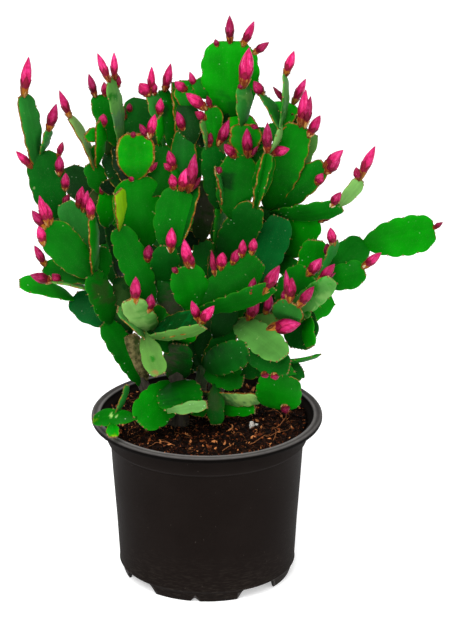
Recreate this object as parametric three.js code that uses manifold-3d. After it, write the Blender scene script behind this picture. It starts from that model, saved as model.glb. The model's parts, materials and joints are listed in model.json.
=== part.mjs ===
// A holiday cactus in bud, growing from rooted stems in a round 12 cm nursery pot.
// Millimetres, +Z up, and the front of the plant faces -Y. The shapes are set out from the
// pot's axis at the surface it stands on, and then moved so that the origin is under the
// middle of the whole plant's spread.
import * as THREE from 'three';
import { mergeVertices } from 'three/addons/utils/BufferGeometryUtils.js';
import Module from 'manifold-3d';

const V = THREE.Vector3;
const wasm = await Module();
wasm.setup();

// Middle of the plant's spread, from the pot's axis
const SPREAD_X = 12.3;
const SPREAD_Y = 5.9;

// Pot
const POT_HEIGHT = 88;
const RIM_RADIUS = 60;
const RIM_INNER_RADIUS = 55.6;
const COLLAR_RADIUS = 53.3;
const STEP_RADIUS = 52;
const STEP_HEIGHT = 74.8;
const WALL_TOP_RADIUS = 50.3;
const WALL_FOOT_RADIUS = 46;
const RIDGE_HEIGHT = 6.5;
const FOOT_RADIUS = 43.7;
const FOOT_THICKNESS = 1.5;
const WALL = 1.3;
const FLOOR_UNDERSIDE = 5.2;
const FLOOR_TOP = 6.5;
const POT_SIDES = 28;
const FOOT_GAPS = [-143, -53, 37, 127];
const FOOT_GAP_HEIGHT = 5.6;
const FOOT_GAP_WIDTH = 24;
const FOOT_NICK_HEIGHT = 2.3;
const FOOT_NICK_WIDTH = 5;
const DRAIN_HOLES = 6;
const DRAIN_RADIUS = 4;
const DRAIN_CIRCLE = 30;
const DRAIN_SIDES = 8;

// Soil
const SOIL_TOP = 84;
const SOIL_EDGE_RADIUS = 53.6;
const SOIL_GAP = 0.35;
const ROOT_DEPTH = 22;
const SOIL_SIDES = 22;

// Plant
const BLADE_THICKNESS = 1.9;
const NECK_WIDTH = 2.6;
const NECK_THICKNESS = 1.1;
const ROOT_INSET = 0.8;
const BLADE_SINK = 0.8;
const BUD_SINK = 1.6;
const BUD_SIDES = 4;
const BUD_BELLY = 0.42;
const BUD_SWELL = 0.54;
const WOOD_SIDES = 6;
// The outline of a segment: part of its length, and half width as a part of the widest.
// Rounded teeth and the notches between them alternate along both margins.
const OUTLINE = [
  [0, 0],
  [0.2, 0.86],
  [0.3, 0.78],
  [0.58, 1],
  [0.84, 0.84],
  [1, 0.44],
];
// Narrow segments, those that stand edge on and those at the back have one notch on each side.
const PLAIN_OUTLINE = [
  [0, 0],
  [0.28, 0.94],
  [0.5, 0.84],
  [0.76, 1],
  [1, 0.5],
];
const PLAIN_WIDTH = 14;
const PLAIN_TURN = 42;
const PLAIN_DEPTH = 4;

// The plant is set out as it looks from the front, from an eye that looks down at 21 degrees.
// x runs right and h runs up, square to the line of sight, in the plane through the middle of
// the soil. y is true depth: less than 0 in front of the pot's axis, more than 0 behind it.
const SIGHT = THREE.MathUtils.degToRad(21);
const EYE = new V(9.4, -1400.4, 683.1);

function sightLine(x, h) {
  const through = new V(x, h * Math.sin(SIGHT), SOIL_TOP + h * Math.cos(SIGHT));
  return through.sub(EYE).normalize();
}

function seen(x, h, y) {
  const line = sightLine(x, h);
  return line.multiplyScalar((y - EYE.y) / line.y).add(EYE);
}

// Woody stems. Each row: name, what it grows from, end x, h, y, thickness below and above.
// A stem that grows from 'soil' also gives where it leaves the soil: x, y.
const WOOD = {
  stem_left: [
    ['La', 'soil', -33, 18, 4, 6.4, 6.2, -26, 5],
    ['Lb', 'La', -39, 30, 3, 6.2, 6.4],
    ['Lc', 'Lb', -41.5, 43, 2, 6.4, 5.6],
    ['Ld', 'Lc', -45, 70, 8, 5.6, 5],
  ],
  stem_centre: [
    ['Ca', 'soil', -15.5, 21, -6, 9.6, 9, -14.5, -8],
    ['Cb', 'Ca', -16, 38, -4, 9, 9.6],
    ['Cc', 'Cb', -21.5, 54, -3, 9.4, 8.4],
    ['Cd', 'Cc', -22.5, 70, -2, 8.4, 7.4],
  ],
  stem_right: [
    ['Ra', 'soil', 5, 24, 8, 8, 7.6, 6, 11],
    ['Rb', 'Ra', 10, 48, 6, 7.6, 7],
  ],
  stem_front: [
    ['Va', 'soil', -3, 14, 4, 6.4, 6, -3, 6],
    ['Vb', 'Va', -2, 28, -2, 6, 6],
  ],
};

// Flat green segments. Each row: name, what it grows from, base x, h, tip x, h, y, width,
// turn about its length in degrees (0 faces the eye, 90 is edge on), and bow as a part of its
// length, where it has one. The base is moved onto what the segment grows from.
const BLADES = {
  stem_left: [
    ['L1', 'La', -36, 15, -53.5, 50, -6, 14, 20],
    ['L6', 'La', -33, 19, -40.5, 43.5, -2, 13, 15],
    ['K0', 'Lc', -41, 43, -44, 74, -3, 13, 0],
    ['N5', 'L1', -50, 50, -60.5, 76, -20, 15, 30],
    ['N4', 'L1', -52, 49, -69.5, 63.5, 2, 14.5, 0],
    ['N3', 'N4', -69.5, 62.5, -97.5, 70.5, -4, 15, 60],
    ['N2', 'N5', -58, 66, -81, 71.5, -14, 12, 80],
    ['N8', 'N5', -59, 72, -84.5, 79.5, -6, 12, 20],
    ['N1', 'N5', -60.5, 74, -83.5, 100.5, -30, 18, 0],
    ['N6', 'N5', -59.5, 76, -60.3, 105, -26, 13, 68],
    ['N7', 'N5', -57, 72, -55, 89.5, -8, 11, 20],
    ['N9', 'N5', -60, 82, -74, 112.5, -14, 14, 0],
    ['N10', 'N5', -61, 84, -84, 111, -6, 8, 0],
    ['L3', 'N10', -79, 103, -86.5, 139, -2, 18.5, 0],
    ['L4', 'L3', -90, 133, -96.2, 168.5, -6, 15, 50],
    ['L5', 'L3', -86.5, 138, -82.5, 150.5, -2, 11, 74],
    ['K1', 'Ld', -45, 70, -52, 101, 4, 12, 58],
    ['K2', 'K1', -52.5, 101, -52.5, 118.5, -4, 12, 25],
    ['K3', 'K2', -54, 118, -61, 133, -4, 11, 20],
    ['K4', 'K3', -59, 130, -71.5, 157, -2, 14, 74],
    ['K5', 'K3', -57.5, 131, -56.3, 155, -12, 11, 60],
    ['K8', 'K5', -58, 145.5, -62.3, 149.5, -13, 7.5, 0],
    ['J1', 'Ld', -44, 66, -50, 92, 36, 15, 20],
    ['J2', 'J1', -54, 91, -62, 112, 56, 17, -10],
    ['J3', 'J1', -47, 92, -45, 118, 48, 17, 15],
    ['J4', 'J2', -62, 112, -72, 131, 70, 15, 10],
  ],
  stem_centre: [
    ['P0', 'Cb', -17, 36, -33, 44, -22, 11, 30],
    ['O2', 'P0', -33.5, 45, -24.5, 23, -32, 11.5, 10],
    ['O1', 'P0', -28, 45, -40.5, 62, -36, 13.5, -15],
    ['O3', 'P0', -36, 44, -46.5, 57, -24, 12, 66],
    ['O5', 'P0', -29, 45, -3, 50.5, -38, 16, -42],
    ['O6', 'P0', -31, 42.5, -2, 48, -45, 10, 58],
    ['M0', 'Cb', -18, 36, -28.5, 58, -18, 11, 15],
    ['M4', 'M0', -29, 58, -46, 99.5, -22, 15.5, 15],
    ['Y0', 'M4', -45.5, 99, -46, 118.5, -26, 14, 70],
    ['C1', 'Cd', -22.5, 69, -33, 89, -6, 14, 20],
    ['M2', 'C1', -33, 88.5, -37, 125.5, -14, 25, 0],
    ['M1', 'M2', -37, 125, -36.5, 148.5, -20, 19, 0],
    ['M5', 'Cd', -21, 66, -20.5, 90, -26, 15, 0],
    ['C2', 'Cb', -13, 38, -5, 57, -20, 13, 10],
    ['C5', 'Cb', -18, 40, -22, 74.5, -12, 12.5, 0],
    ['M6', 'C2', -4, 56.5, -11.5, 79.5, -32, 18.5, 0],
    ['M3', 'M5', -20.5, 88, -14.5, 119.8, -18, 19.5, 0],
    ['M10', 'M3', -10.5, 93, -5.4, 121, -14, 11, -52],
    ['M7', 'C2', -6, 56.5, 27, 83, -36, 18, 0],
    ['M8', 'C2', -4, 58, 34, 69, -46, 13, 45],
    ['A1', 'Ca', -20, 18, -35, -2.5, -38, 20, 0],
    ['A2', 'A1', -39, -1.5, -59, 0, -30, 10, 30],
    ['A3', 'A2', -49, -3, -49, -9.5, -43, 6.5, 0],
    ['A4', 'A2', -47, 2.5, -41.3, 17.5, -26, 8, 72],
    ['A5', 'Ca', -14, 20, -11.5, 4.5, -44, 23, 0],
    ['A7', 'A5', -20, 3.2, 0, 7.5, -47, 6, 0],
    ['A6', 'Ca', -12, 12, 0, 3, -16, 9, 0],
    ['C4', 'Ca', -15, 19, -14, 39, -13, 15, 0],
    ['P1', 'M2', -29, 117, -18.5, 141.5, -4, 21, 0],
    ['P2', 'P1', -25, 143, -25, 157, -6, 10, 62],
    ['P3', 'P1', -18, 141, -22.5, 171, 8, 11, 25],
    ['P4', 'P1', -14, 138, -17, 175, 10, 12, 58],
    ['P6', 'P1', -22, 143, -29, 170, 2, 10, 45],
    ['M9', 'M3', -14.5, 119, -17, 130.5, -16, 6, 40],
    ['R1', 'M3', -11.5, 117.5, -12.3, 150, -6, 12.5, 0],
    ['R3', 'R1', -7, 143, -11.5, 164.5, 0, 12, 0],
    ['R4', 'R3', -10.5, 161, -11, 176, 8, 12, 0],
    ['Q0', 'M2', -41, 122, -45, 143, 0, 12, 0],
    ['Q1', 'Q0', -47, 142, -56, 168.5, 10, 15, 25],
    ['Q2', 'Q0', -45, 143, -50.8, 176, -10, 15, 66],
    ['Q3', 'Q0', -41, 137, -34.5, 166.5, 20, 17, 0],
    ['Q5', 'M2', -45, 120, -50, 139, 14, 12, 0],
    ['B1', 'Cd', -20, 66, -16, 96, 34, 20, 0],
    ['B2', 'B1', -20, 95, -34, 124, 44, 19, 20],
    ['B3', 'B1', -13, 95, -6, 120, 60, 20, -10],
    ['B4', 'B2', -34, 123, -36, 146, 60, 18, 10],
    ['B5', 'B3', -12, 121, -8, 146, 58, 18, -10],
    ['B6', 'Cb', -15, 36, -20, 52, 44, 17, 10],
    ['B8', 'B6', -19, 51, -6, 64, 64, 17, 0],
  ],
  stem_right: [
    ['D0', 'Rb', 10, 47, 21, 76, -8, 14, 20],
    ['D1', 'D0', 21.5, 75, 31.5, 110, 0, 14, 10],
    ['D5', 'D0', 25, 72, 38.5, 105, -8, 17, 0],
    ['G0', 'Rb', 9, 44, 4.5, 88, 6, 12, 10],
    ['G1', 'G0', 4.3, 87.5, 7, 112, -6, 10, 50],
    ['G4', 'G0', 6, 60, -3, 93, 12, 13, 0],
    ['G5', 'G4', -3, 92, -2.5, 124, 8, 13, 0],
    ['G2', 'G1', 6.5, 108, 4.3, 129.5, -26, 8, 78],
    ['U1', 'G0', 7, 84, 25, 111.5, -18, 18, 0],
    ['T1', 'U1', 14, 106, 17.3, 137.5, -14, 19.5, 0],
    ['T2', 'U1', 25, 111, 31.5, 139, -20, 14, 55],
    ['T8', 'U1', 26, 110.5, 32.5, 138, -22, 10, -45],
    ['F1', 'T1', 20, 137, 20.8, 153.3, -8, 16.5, 0],
    ['F2', 'T1', 15.5, 137, 18.5, 158.3, 4, 16, 0],
    ['F3', 'F2', 11.5, 157, 11.2, 196.5, 4, 29, 0],
    ['F4', 'F1', 18, 152, 19, 173.5, -8, 12, 52],
    ['E1', 'T2', 33, 138, 38.5, 153, -16, 9, 68],
    ['E2', 'E1', 36, 151.5, 29, 168.5, -6, 12, 66],
    ['E3', 'E1', 37.5, 152, 40.5, 179, -6, 14, 78],
    ['E4', 'E1', 38.5, 151.5, 41, 164.5, 0, 14.5, 0],
    ['T3', 'D1', 31, 109, 47, 153.5, -14, 19, 0],
    ['D3', 'D1', 34, 108, 55.5, 148.5, 6, 10, 0],
    ['T4', 'D1', 33.5, 109.5, 61.5, 132, -14, 14, 0],
    ['T5', 'D1', 33, 107, 70, 110.5, -22, 12, 45],
    ['T6', 'T5', 70, 111, 80, 124.5, -20, 7.5, 20],
    ['D4', 'D0', 22, 72, 40, 86, 8, 12, 20],
    ['D7', 'Rb', 10, 47, 41, 66, 10, 20, 0],
    ['D6', 'D4', 38, 84, 46.5, 74.5, -2, 11, 0],
    ['T7', 'D4', 42, 86, 55.5, 106, -6, 18, 0],
    ['S1', 'G1', 3.5, 110, 2.5, 142.5, -8, 13.5, 10],
    ['S2', 'S1', 3.8, 142, 2.5, 162.5, -4, 9.5, 10],
    ['S3', 'S1', -0.5, 141.5, -3, 155, -10, 9, 76],
    ['X0', 'Rb', 12, 46, 40.5, 51.5, -16, 13, 25],
    ['X2', 'X0', 42, 52, 54.5, 75, -34, 24, -15],
    ['X9', 'X0', 43, 52, 65.5, 72.3, -44, 12, 15],
    ['X1', 'X0', 39, 51, 44.5, 60.5, -40, 16, 0],
    ['X5', 'X0', 41, 52, 61, 72.5, -10, 15, 20],
    ['X6', 'X5', 61, 75, 81.8, 92, 8, 16.5, 0],
    ['X7', 'X5', 63, 72.5, 81.8, 77.8, -14, 14, 0],
    ['X8', 'X6', 82.3, 91.8, 118.3, 98.8, 10, 20, 0],
    ['X3', 'X5', 53, 71, 56.5, 93, -14, 15, 0],
    ['X4', 'X5', 58, 75, 66.2, 92, -20, 12, 74],
    ['Z1', 'X0', 40, 49, 65.5, 62, 0, 11.5, 10],
    ['Z3', 'X5', 51, 59, 47.5, 36.5, -22, 17, 0],
    ['Z4', 'Z3', 52.5, 57, 54, 37.5, -28, 9, 48],
    ['H1', 'Rb', 10, 47, 18, 62, 34, 15, 0],
    ['H2', 'H1', 18, 62, 30, 84, 50, 18, 10],
    ['H3', 'H1', 12, 60, -2, 92, 46, 20, -15],
    ['H4', 'H2', 30, 83, 40, 108, 50, 18, 0],
    ['H5', 'H3', 8, 87, 12, 116, 50, 18, 10],
    ['H6', 'H4', 40, 107, 36, 132, 52, 17, -10],
    ['H7', 'H5', 12, 115, 20, 140, 44, 18, 10],
    ['H8', 'Ra', 6, 24, 18, 38, 48, 16, 10],
  ],
  stem_front: [
    ['V1', 'Vb', -2, 28, 21.5, 36.5, -38, 15.5, 0],
    ['V2', 'Vb', -1.5, 25, 19, 20, -18, 13, 0],
    ['V3', 'Va', -2, 14.5, 27.5, 11.5, -26, 13, 58],
    ['V0', 'Vb', -1, 27, 16.5, 52, -10, 11, 10],
    ['V9', 'V0', 4, 44, 12.5, 59, -14, 12, 0],
    ['V10', 'Vb', -2, 27, -1.5, 48, 0, 9, 0],
    ['V6', 'V0', 15, 50.5, 39.5, 31.8, -54, 16, -15],
    ['V5', 'V1', 20.5, 34, 43, 27, -50, 13.5, 10],
    ['V4', 'V5', 38, 31, 36.5, 5.5, -24, 23, 0],
    ['V7', 'V4', 47, 30, 58.5, 33.3, -40, 8, 80],
    ['V8', 'Vb', -3, 26, -8, 47, 4, 11.5, 20],
    ['W1', 'V2', 5, 16, 4.5, -3, -22, 9, 0],
    ['W2', 'Va', 1, 6, 25, 5, -16, 8, 0],
  ],
};

// Flower buds. Each row: the segment that carries it, root x, h, tip x, h, and thickness.
const BUDS = [
  ['L4', -95.6, 167.5, -92.7, 188.5, 5.3],
  ['L5', -83, 150, -78.3, 164, 5],
  ['L3', -91, 130.5, -99.3, 139.3, 3.8],
  ['L3', -77, 126.5, -76.5, 137, 4.5],
  ['L3', -73.5, 119, -73.5, 128, 4.3],
  ['N1', -85.5, 103.5, -87.2, 116.3, 4.5],
  ['N1', -83.5, 104, -84, 112.5, 4],
  ['N1', -86, 101, -91, 108.5, 4.5],
  ['N1', -85.8, 90, -87.5, 100.5, 4.5],
  ['N8', -85, 79.5, -89.8, 90.3, 4],
  ['N2', -81, 73, -92, 75, 5.2],
  ['N2', -76, 72, -80.5, 75.5, 4.5],
  ['N9', -67, 110, -64.8, 121, 4.5],
  ['N9', -64, 108, -62, 118.8, 4],
  ['N6', -60.5, 104.5, -60.8, 115.3, 4.5],
  ['K4', -71.7, 157, -76.8, 171, 4],
  ['K5', -55, 152, -53.7, 158.7, 4.5],
  ['Q1', -58.5, 168.5, -61.5, 179.6, 3.8],
  ['Q2', -51, 176, -57, 190.3, 4],
  ['Q2', -48.7, 176, -48.3, 190.9, 3.6],
  ['Q3', -43, 155, -46.8, 163.8, 5],
  ['P6', -30, 168, -35, 174.7, 6],
  ['P6', -29.5, 170, -28.7, 183.4, 3.6],
  ['P6', -28, 168, -28, 176, 3.8],
  ['P6', -26, 157.5, -24, 167, 4],
  ['P3', -22.3, 170.5, -18.8, 185, 4.5],
  ['R4', -10.5, 170, -16.8, 175.5, 4.5],
  ['R4', -6, 172, -9, 180.7, 3.2],
  ['S2', -0.5, 161, -11, 169.5, 5.5],
  ['R1', -12, 149.5, -15.5, 160, 4.4],
  ['M9', -17.3, 130, -20, 139.5, 4.6],
  ['M3', -17, 119.5, -18.3, 127.3, 4.4],
  ['M3', -13.5, 119.5, -10.5, 130.5, 5.2],
  ['M3', -8.5, 121, -6.2, 138, 5.6],
  ['M1', -29, 146.5, -27, 158.5, 4.5],
  ['M1', -30, 146, -35, 153.5, 3.5],
  ['M4', -32, 82.5, -30, 90.5, 5.2],
  ['M5', -18.8, 87.5, -18.3, 99.5, 5.2],
  ['M6', -9.5, 79, -11.8, 93.5, 5.2],
  ['M6', -7.5, 79, -10.5, 87.5, 4.5],
  ['M7', 8, 79.5, 8.3, 86.7, 5.2],
  ['M7', 14.2, 81.5, 16.7, 88.5, 4.4],
  ['M7', 19, 85, 18.8, 93.3, 4],
  ['M7', 23.5, 87, 24.6, 94, 4.2],
  ['M8', 23, 66.5, 24.7, 73.5, 4],
  ['M8', 29.5, 66.5, 37.8, 79.8, 6],
  ['O1', -37.5, 60.5, -37, 74, 5.2],
  ['O1', -31, 57, -28.7, 65, 5],
  ['O5', -4, 50.5, -8, 61.5, 4.2],
  ['O5', -2, 49.5, 3.8, 58.9, 5],
  ['S1', 6.8, 142.5, 11.5, 155.5, 5],
  ['T1', 15, 136, 9, 143, 4.6],
  ['T1', 21.5, 138.5, 20.8, 151.3, 5.2],
  ['T2', 31.3, 139, 31.5, 154.3, 4.7],
  ['T2', 33, 138, 43, 140.5, 4.9],
  ['E2', 29.2, 168, 24.3, 175.8, 5],
  ['E3', 40.7, 178.5, 45.4, 191.5, 4.4],
  ['T3', 48.5, 152.5, 51.5, 171.5, 4.8],
  ['T3', 51, 152, 54, 168, 4.2],
  ['E4', 46.5, 163, 51.5, 177, 4.2],
  ['T3', 52.7, 147, 59, 158, 4.8],
  ['F4', 18.8, 172.5, 22, 193.2, 7],
  ['F2', 19.4, 158, 21.7, 165.8, 4],
  ['F3', 12, 195.5, 11.8, 210, 4.3],
  ['F3', 18.5, 194, 24.6, 207, 4.2],
  ['F3', 24, 190.5, 32.4, 196, 3.8],
  ['T4', 61, 131, 71, 140, 5],
  ['T4', 62, 128, 69.5, 135.5, 5],
  ['T4', 58, 122.5, 60.5, 128, 4.6],
  ['T5', 64.5, 111, 69.8, 118, 4.6],
  ['T7', 59.5, 104, 67, 107.6, 3.6],
  ['T6', 79.7, 125, 87.6, 142, 4.8],
  ['X4', 63.5, 91, 64.2, 99.6, 4.6],
  ['X2', 52.5, 74.5, 59.8, 83.6, 5.5],
  ['X2', 61.5, 75, 66.5, 80.6, 4.8],
  ['X1', 40.5, 61, 41.3, 68, 4],
  ['X1', 43.3, 61.5, 44.2, 73.5, 5.4],
  ['X1', 43, 62, 41, 77.5, 3.4],
  ['X1', 48, 59.5, 55.8, 69, 4.8],
  ['X0', 36.5, 53, 44.5, 59, 5],
  ['X0', 31, 56.5, 33.5, 64.3, 4.4],
  ['X7', 82.5, 79, 90.8, 86.6, 4.4],
  ['X8', 120, 99.5, 122.8, 102.4, 2.4],
  ['V6', 33, 44.5, 48.8, 49.6, 7.4],
  ['V6', 24.5, 52, 26.5, 62.6, 5.8],
  ['V5', 30.5, 25, 31.3, 21.3, 4.6],
  ['V5', 35.5, 24.5, 36.2, 20.2, 4.6],
  ['V4', 40.3, 9.5, 41.4, 2.8, 4.6],
];

const COLOURS = {
  pot: 0x2a2623,
  soil: 0x3a2418,
  stem_left: 0x1f7a26,
  stem_centre: 0x178a1c,
  stem_right: 0x1a8524,
  stem_front: 0x22902a,
};

function solid(positions, triangles) {
  const vertProperties = new Float32Array(positions.flat());
  const triVerts = new Uint32Array(triangles.flat());
  return new wasm.Manifold(new wasm.Mesh({ numProp: 3, vertProperties, triVerts }));
}

function solidOf(geometry) {
  const bare = geometry.clone();
  bare.deleteAttribute('normal');
  bare.deleteAttribute('uv');
  const merged = mergeVertices(bare, 1e-4);
  const vertProperties = new Float32Array(merged.attributes.position.array);
  const triVerts = new Uint32Array(merged.index.array);
  return new wasm.Manifold(new wasm.Mesh({ numProp: 3, vertProperties, triVerts }));
}

function geometryOf(body) {
  const mesh = body.getMesh();
  const geometry = new THREE.BufferGeometry();
  const positions = new Float32Array(mesh.numVert * 3);
  for (let i = 0; i < mesh.numVert; i += 1) {
    for (let k = 0; k < 3; k += 1) {
      positions[3 * i + k] = mesh.vertProperties[i * mesh.numProp + k];
    }
  }
  geometry.setAttribute('position', new THREE.BufferAttribute(positions, 3));
  geometry.setIndex(new THREE.BufferAttribute(new Uint32Array(mesh.triVerts), 1));
  geometry.computeVertexNormals();
  return geometry;
}

// A stack of rings with the same number of points, closed by a fan at each end.
function ringStack(rings, point) {
  const count = rings[0].length;
  const positions = [];
  const triangles = [];
  for (const ring of rings) {
    for (const p of ring) {
      positions.push([p.x, p.y, p.z]);
    }
  }
  for (let r = 0; r + 1 < rings.length; r += 1) {
    for (let k = 0; k < count; k += 1) {
      const a = r * count + k;
      const b = r * count + ((k + 1) % count);
      triangles.push([a, b, b + count], [a, b + count, a + count]);
    }
  }
  for (let k = 1; k + 1 < count; k += 1) {
    triangles.push([0, k + 1, k]);
  }
  const last = (rings.length - 1) * count;
  if (point) {
    positions.push([point.x, point.y, point.z]);
    const apex = positions.length - 1;
    for (let k = 0; k < count; k += 1) {
      triangles.push([last + k, last + ((k + 1) % count), apex]);
    }
  } else {
    for (let k = 1; k + 1 < count; k += 1) {
      triangles.push([last, last + k, last + k + 1]);
    }
  }
  return solid(positions, triangles);
}

// Two points joined by one ring between them.
function spindle(from, points, to) {
  const positions = [from, ...points, to].map((p) => [p.x, p.y, p.z]);
  const triangles = [];
  for (let k = 0; k < points.length; k += 1) {
    const next = (k + 1) % points.length;
    triangles.push([0, 1 + next, 1 + k], [1 + k, 1 + next, positions.length - 1]);
  }
  return solid(positions, triangles);
}

function ring(centre, axis, radius, sides) {
  const helper = Math.abs(axis.z) > 0.9 ? new V(1, 0, 0) : new V(0, 0, 1);
  const across = new V().crossVectors(helper, axis).normalize();
  const up = new V().crossVectors(axis, across);
  const points = [];
  for (let k = 0; k < sides; k += 1) {
    const angle = (2 * Math.PI * k) / sides;
    const p = centre.clone();
    p.addScaledVector(across, radius * Math.cos(angle));
    p.addScaledVector(up, radius * Math.sin(angle));
    points.push(p);
  }
  return points;
}

function halfWidth(blade, s) {
  const { outline } = blade;
  let i = 0;
  while (i + 2 < outline.length && outline[i + 1][0] < s) {
    i += 1;
  }
  const [s0, w0] = outline[i];
  const [s1, w1] = outline[i + 1];
  const part = w0 + ((w1 - w0) * (s - s0)) / (s1 - s0);
  return Math.max(NECK_WIDTH / 2, (part * blade.width) / 2);
}

function onBlade(blade, s, u) {
  const p = blade.base.clone();
  p.addScaledVector(blade.axis, s * blade.length);
  p.addScaledVector(blade.across, u);
  p.addScaledVector(blade.face, 4 * s * (1 - s) * blade.bow * blade.length);
  return p;
}

// The point of a stem or segment nearest to where (x, h) is seen.
function rootOn(parent, x, h) {
  const line = sightLine(x, h);
  const away = parent.base.clone().sub(EYE);
  const facing = parent.face ? line.dot(parent.face) : 0;
  let s = 0;
  let u = 0;
  if (Math.abs(facing) > 0.3) {
    const p = line.clone().multiplyScalar(away.dot(parent.face) / facing).sub(away);
    s = p.dot(parent.axis) / parent.length;
    u = p.dot(parent.across);
  } else {
    const along = line.dot(parent.axis);
    s = (along * away.dot(line) - away.dot(parent.axis)) / (1 - along * along);
    s /= parent.length;
  }
  const inset = ROOT_INSET / parent.length;
  s = Math.min(1 - inset, Math.max(inset, s));
  if (!parent.face) {
    return parent.base.clone().addScaledVector(parent.axis, s * parent.length);
  }
  const reach = halfWidth(parent, s) - ROOT_INSET;
  return onBlade(parent, s, Math.min(reach, Math.max(-reach, u)));
}

function placeWood(row, placed) {
  const [name, from, x, h, y, below, above, rootX, rootY] = row;
  const start = from === 'soil' ? new V(rootX, rootY, SOIL_TOP) : placed[from].tip.clone();
  const tip = seen(x, h, y);
  const axis = tip.clone().sub(start);
  const length = axis.length();
  axis.normalize();
  placed[name] = { base: start, tip, axis, length, below, above, rooted: from === 'soil' };
  return placed[name];
}

function placeBlade(row, placed) {
  const [name, from, bx, bh, tx, th, ty, width, turn, bow = 0.05] = row;
  const base = rootOn(placed[from], bx, bh);
  const tip = seen(tx, th, ty);
  const axis = tip.clone().sub(base);
  const length = axis.length();
  axis.normalize();
  const look = base.clone().sub(EYE).normalize();
  const facing = look.clone().addScaledVector(axis, -look.dot(axis)).normalize().negate();
  const across = new V().crossVectors(facing, axis);
  const angle = THREE.MathUtils.degToRad(turn);
  const turned = across.multiplyScalar(Math.cos(angle)).addScaledVector(facing, Math.sin(angle));
  const face = new V().crossVectors(axis, turned);
  const narrow = width < PLAIN_WIDTH || Math.abs(turn) >= PLAIN_TURN;
  const plain = narrow || tip.y > PLAIN_DEPTH;
  const outline = plain ? PLAIN_OUTLINE : OUTLINE;
  placed[name] = { base, tip, axis, length, across: turned, face, width, bow, outline };
  return placed[name];
}

function bladeSolid(blade) {
  const rings = [];
  for (const [s] of blade.outline) {
    const at = s === 0 ? -BLADE_SINK / blade.length : s;
    const half = halfWidth(blade, s);
    const lift = 4 * s * (1 - s) * blade.bow * blade.length;
    const centre = blade.base.clone();
    centre.addScaledVector(blade.axis, at * blade.length);
    centre.addScaledVector(blade.face, lift);
    const corners = [];
    for (const [u, t] of [[-1, -1], [1, -1], [1, 1], [-1, 1]]) {
      const p = centre.clone();
      p.addScaledVector(blade.across, u * half);
      p.addScaledVector(blade.face, (t * (s === 0 ? NECK_THICKNESS : BLADE_THICKNESS)) / 2);
      corners.push(p);
    }
    rings.push(corners);
  }
  return ringStack(rings);
}

function woodSolid(stem) {
  const rings = [];
  if (stem.rooted) {
    const foot = stem.base.clone();
    foot.z -= ROOT_DEPTH;
    const up = new V(0, 0, 1);
    rings.push(ring(foot, up, stem.below / 2, WOOD_SIDES));
    const collar = stem.base.clone();
    collar.z += 2;
    rings.push(ring(collar, up, stem.below / 2, WOOD_SIDES));
    return ringStack(rings).add(ringStack([
      ring(stem.base.clone(), stem.axis, stem.below / 2, WOOD_SIDES),
      ring(stem.tip, stem.axis, stem.above / 2, WOOD_SIDES),
    ]));
  }
  const start = stem.base.clone().addScaledVector(stem.axis, -2);
  const end = stem.tip.clone().addScaledVector(stem.axis, 1);
  rings.push(ring(start, stem.axis, stem.below / 2, WOOD_SIDES));
  rings.push(ring(end, stem.axis, stem.above / 2, WOOD_SIDES));
  return ringStack(rings);
}

function budSolid(row, placed) {
  const [from, bx, bh, tx, th, width] = row;
  const root = rootOn(placed[from], bx, bh);
  const reach = Math.hypot(tx - bx, th - bh);
  const tip = seen(tx, th, root.y - 0.2 * reach);
  const axis = tip.clone().sub(root);
  const length = axis.length();
  axis.normalize();
  const at = (s) => root.clone().addScaledVector(axis, s * length);
  const start = root.clone().addScaledVector(axis, -BUD_SINK);
  return spindle(start, ring(at(BUD_BELLY), axis, BUD_SWELL * width, BUD_SIDES), tip);
}

const placed = {};
const plant = {};
for (const [stem, rows] of Object.entries(WOOD)) {
  plant[stem] = null;
  for (const row of rows) {
    const body = woodSolid(placeWood(row, placed));
    plant[stem] = plant[stem] ? plant[stem].add(body) : body;
  }
}
const stemOf = {};
for (const [stem, rows] of Object.entries(BLADES)) {
  for (const row of rows) {
    plant[stem] = plant[stem].add(bladeSolid(placeBlade(row, placed)));
    stemOf[row[0]] = stem;
  }
}
for (const row of BUDS) {
  const stem = stemOf[row[0]];
  plant[stem] = plant[stem].add(budSolid(row, placed));
}

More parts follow.
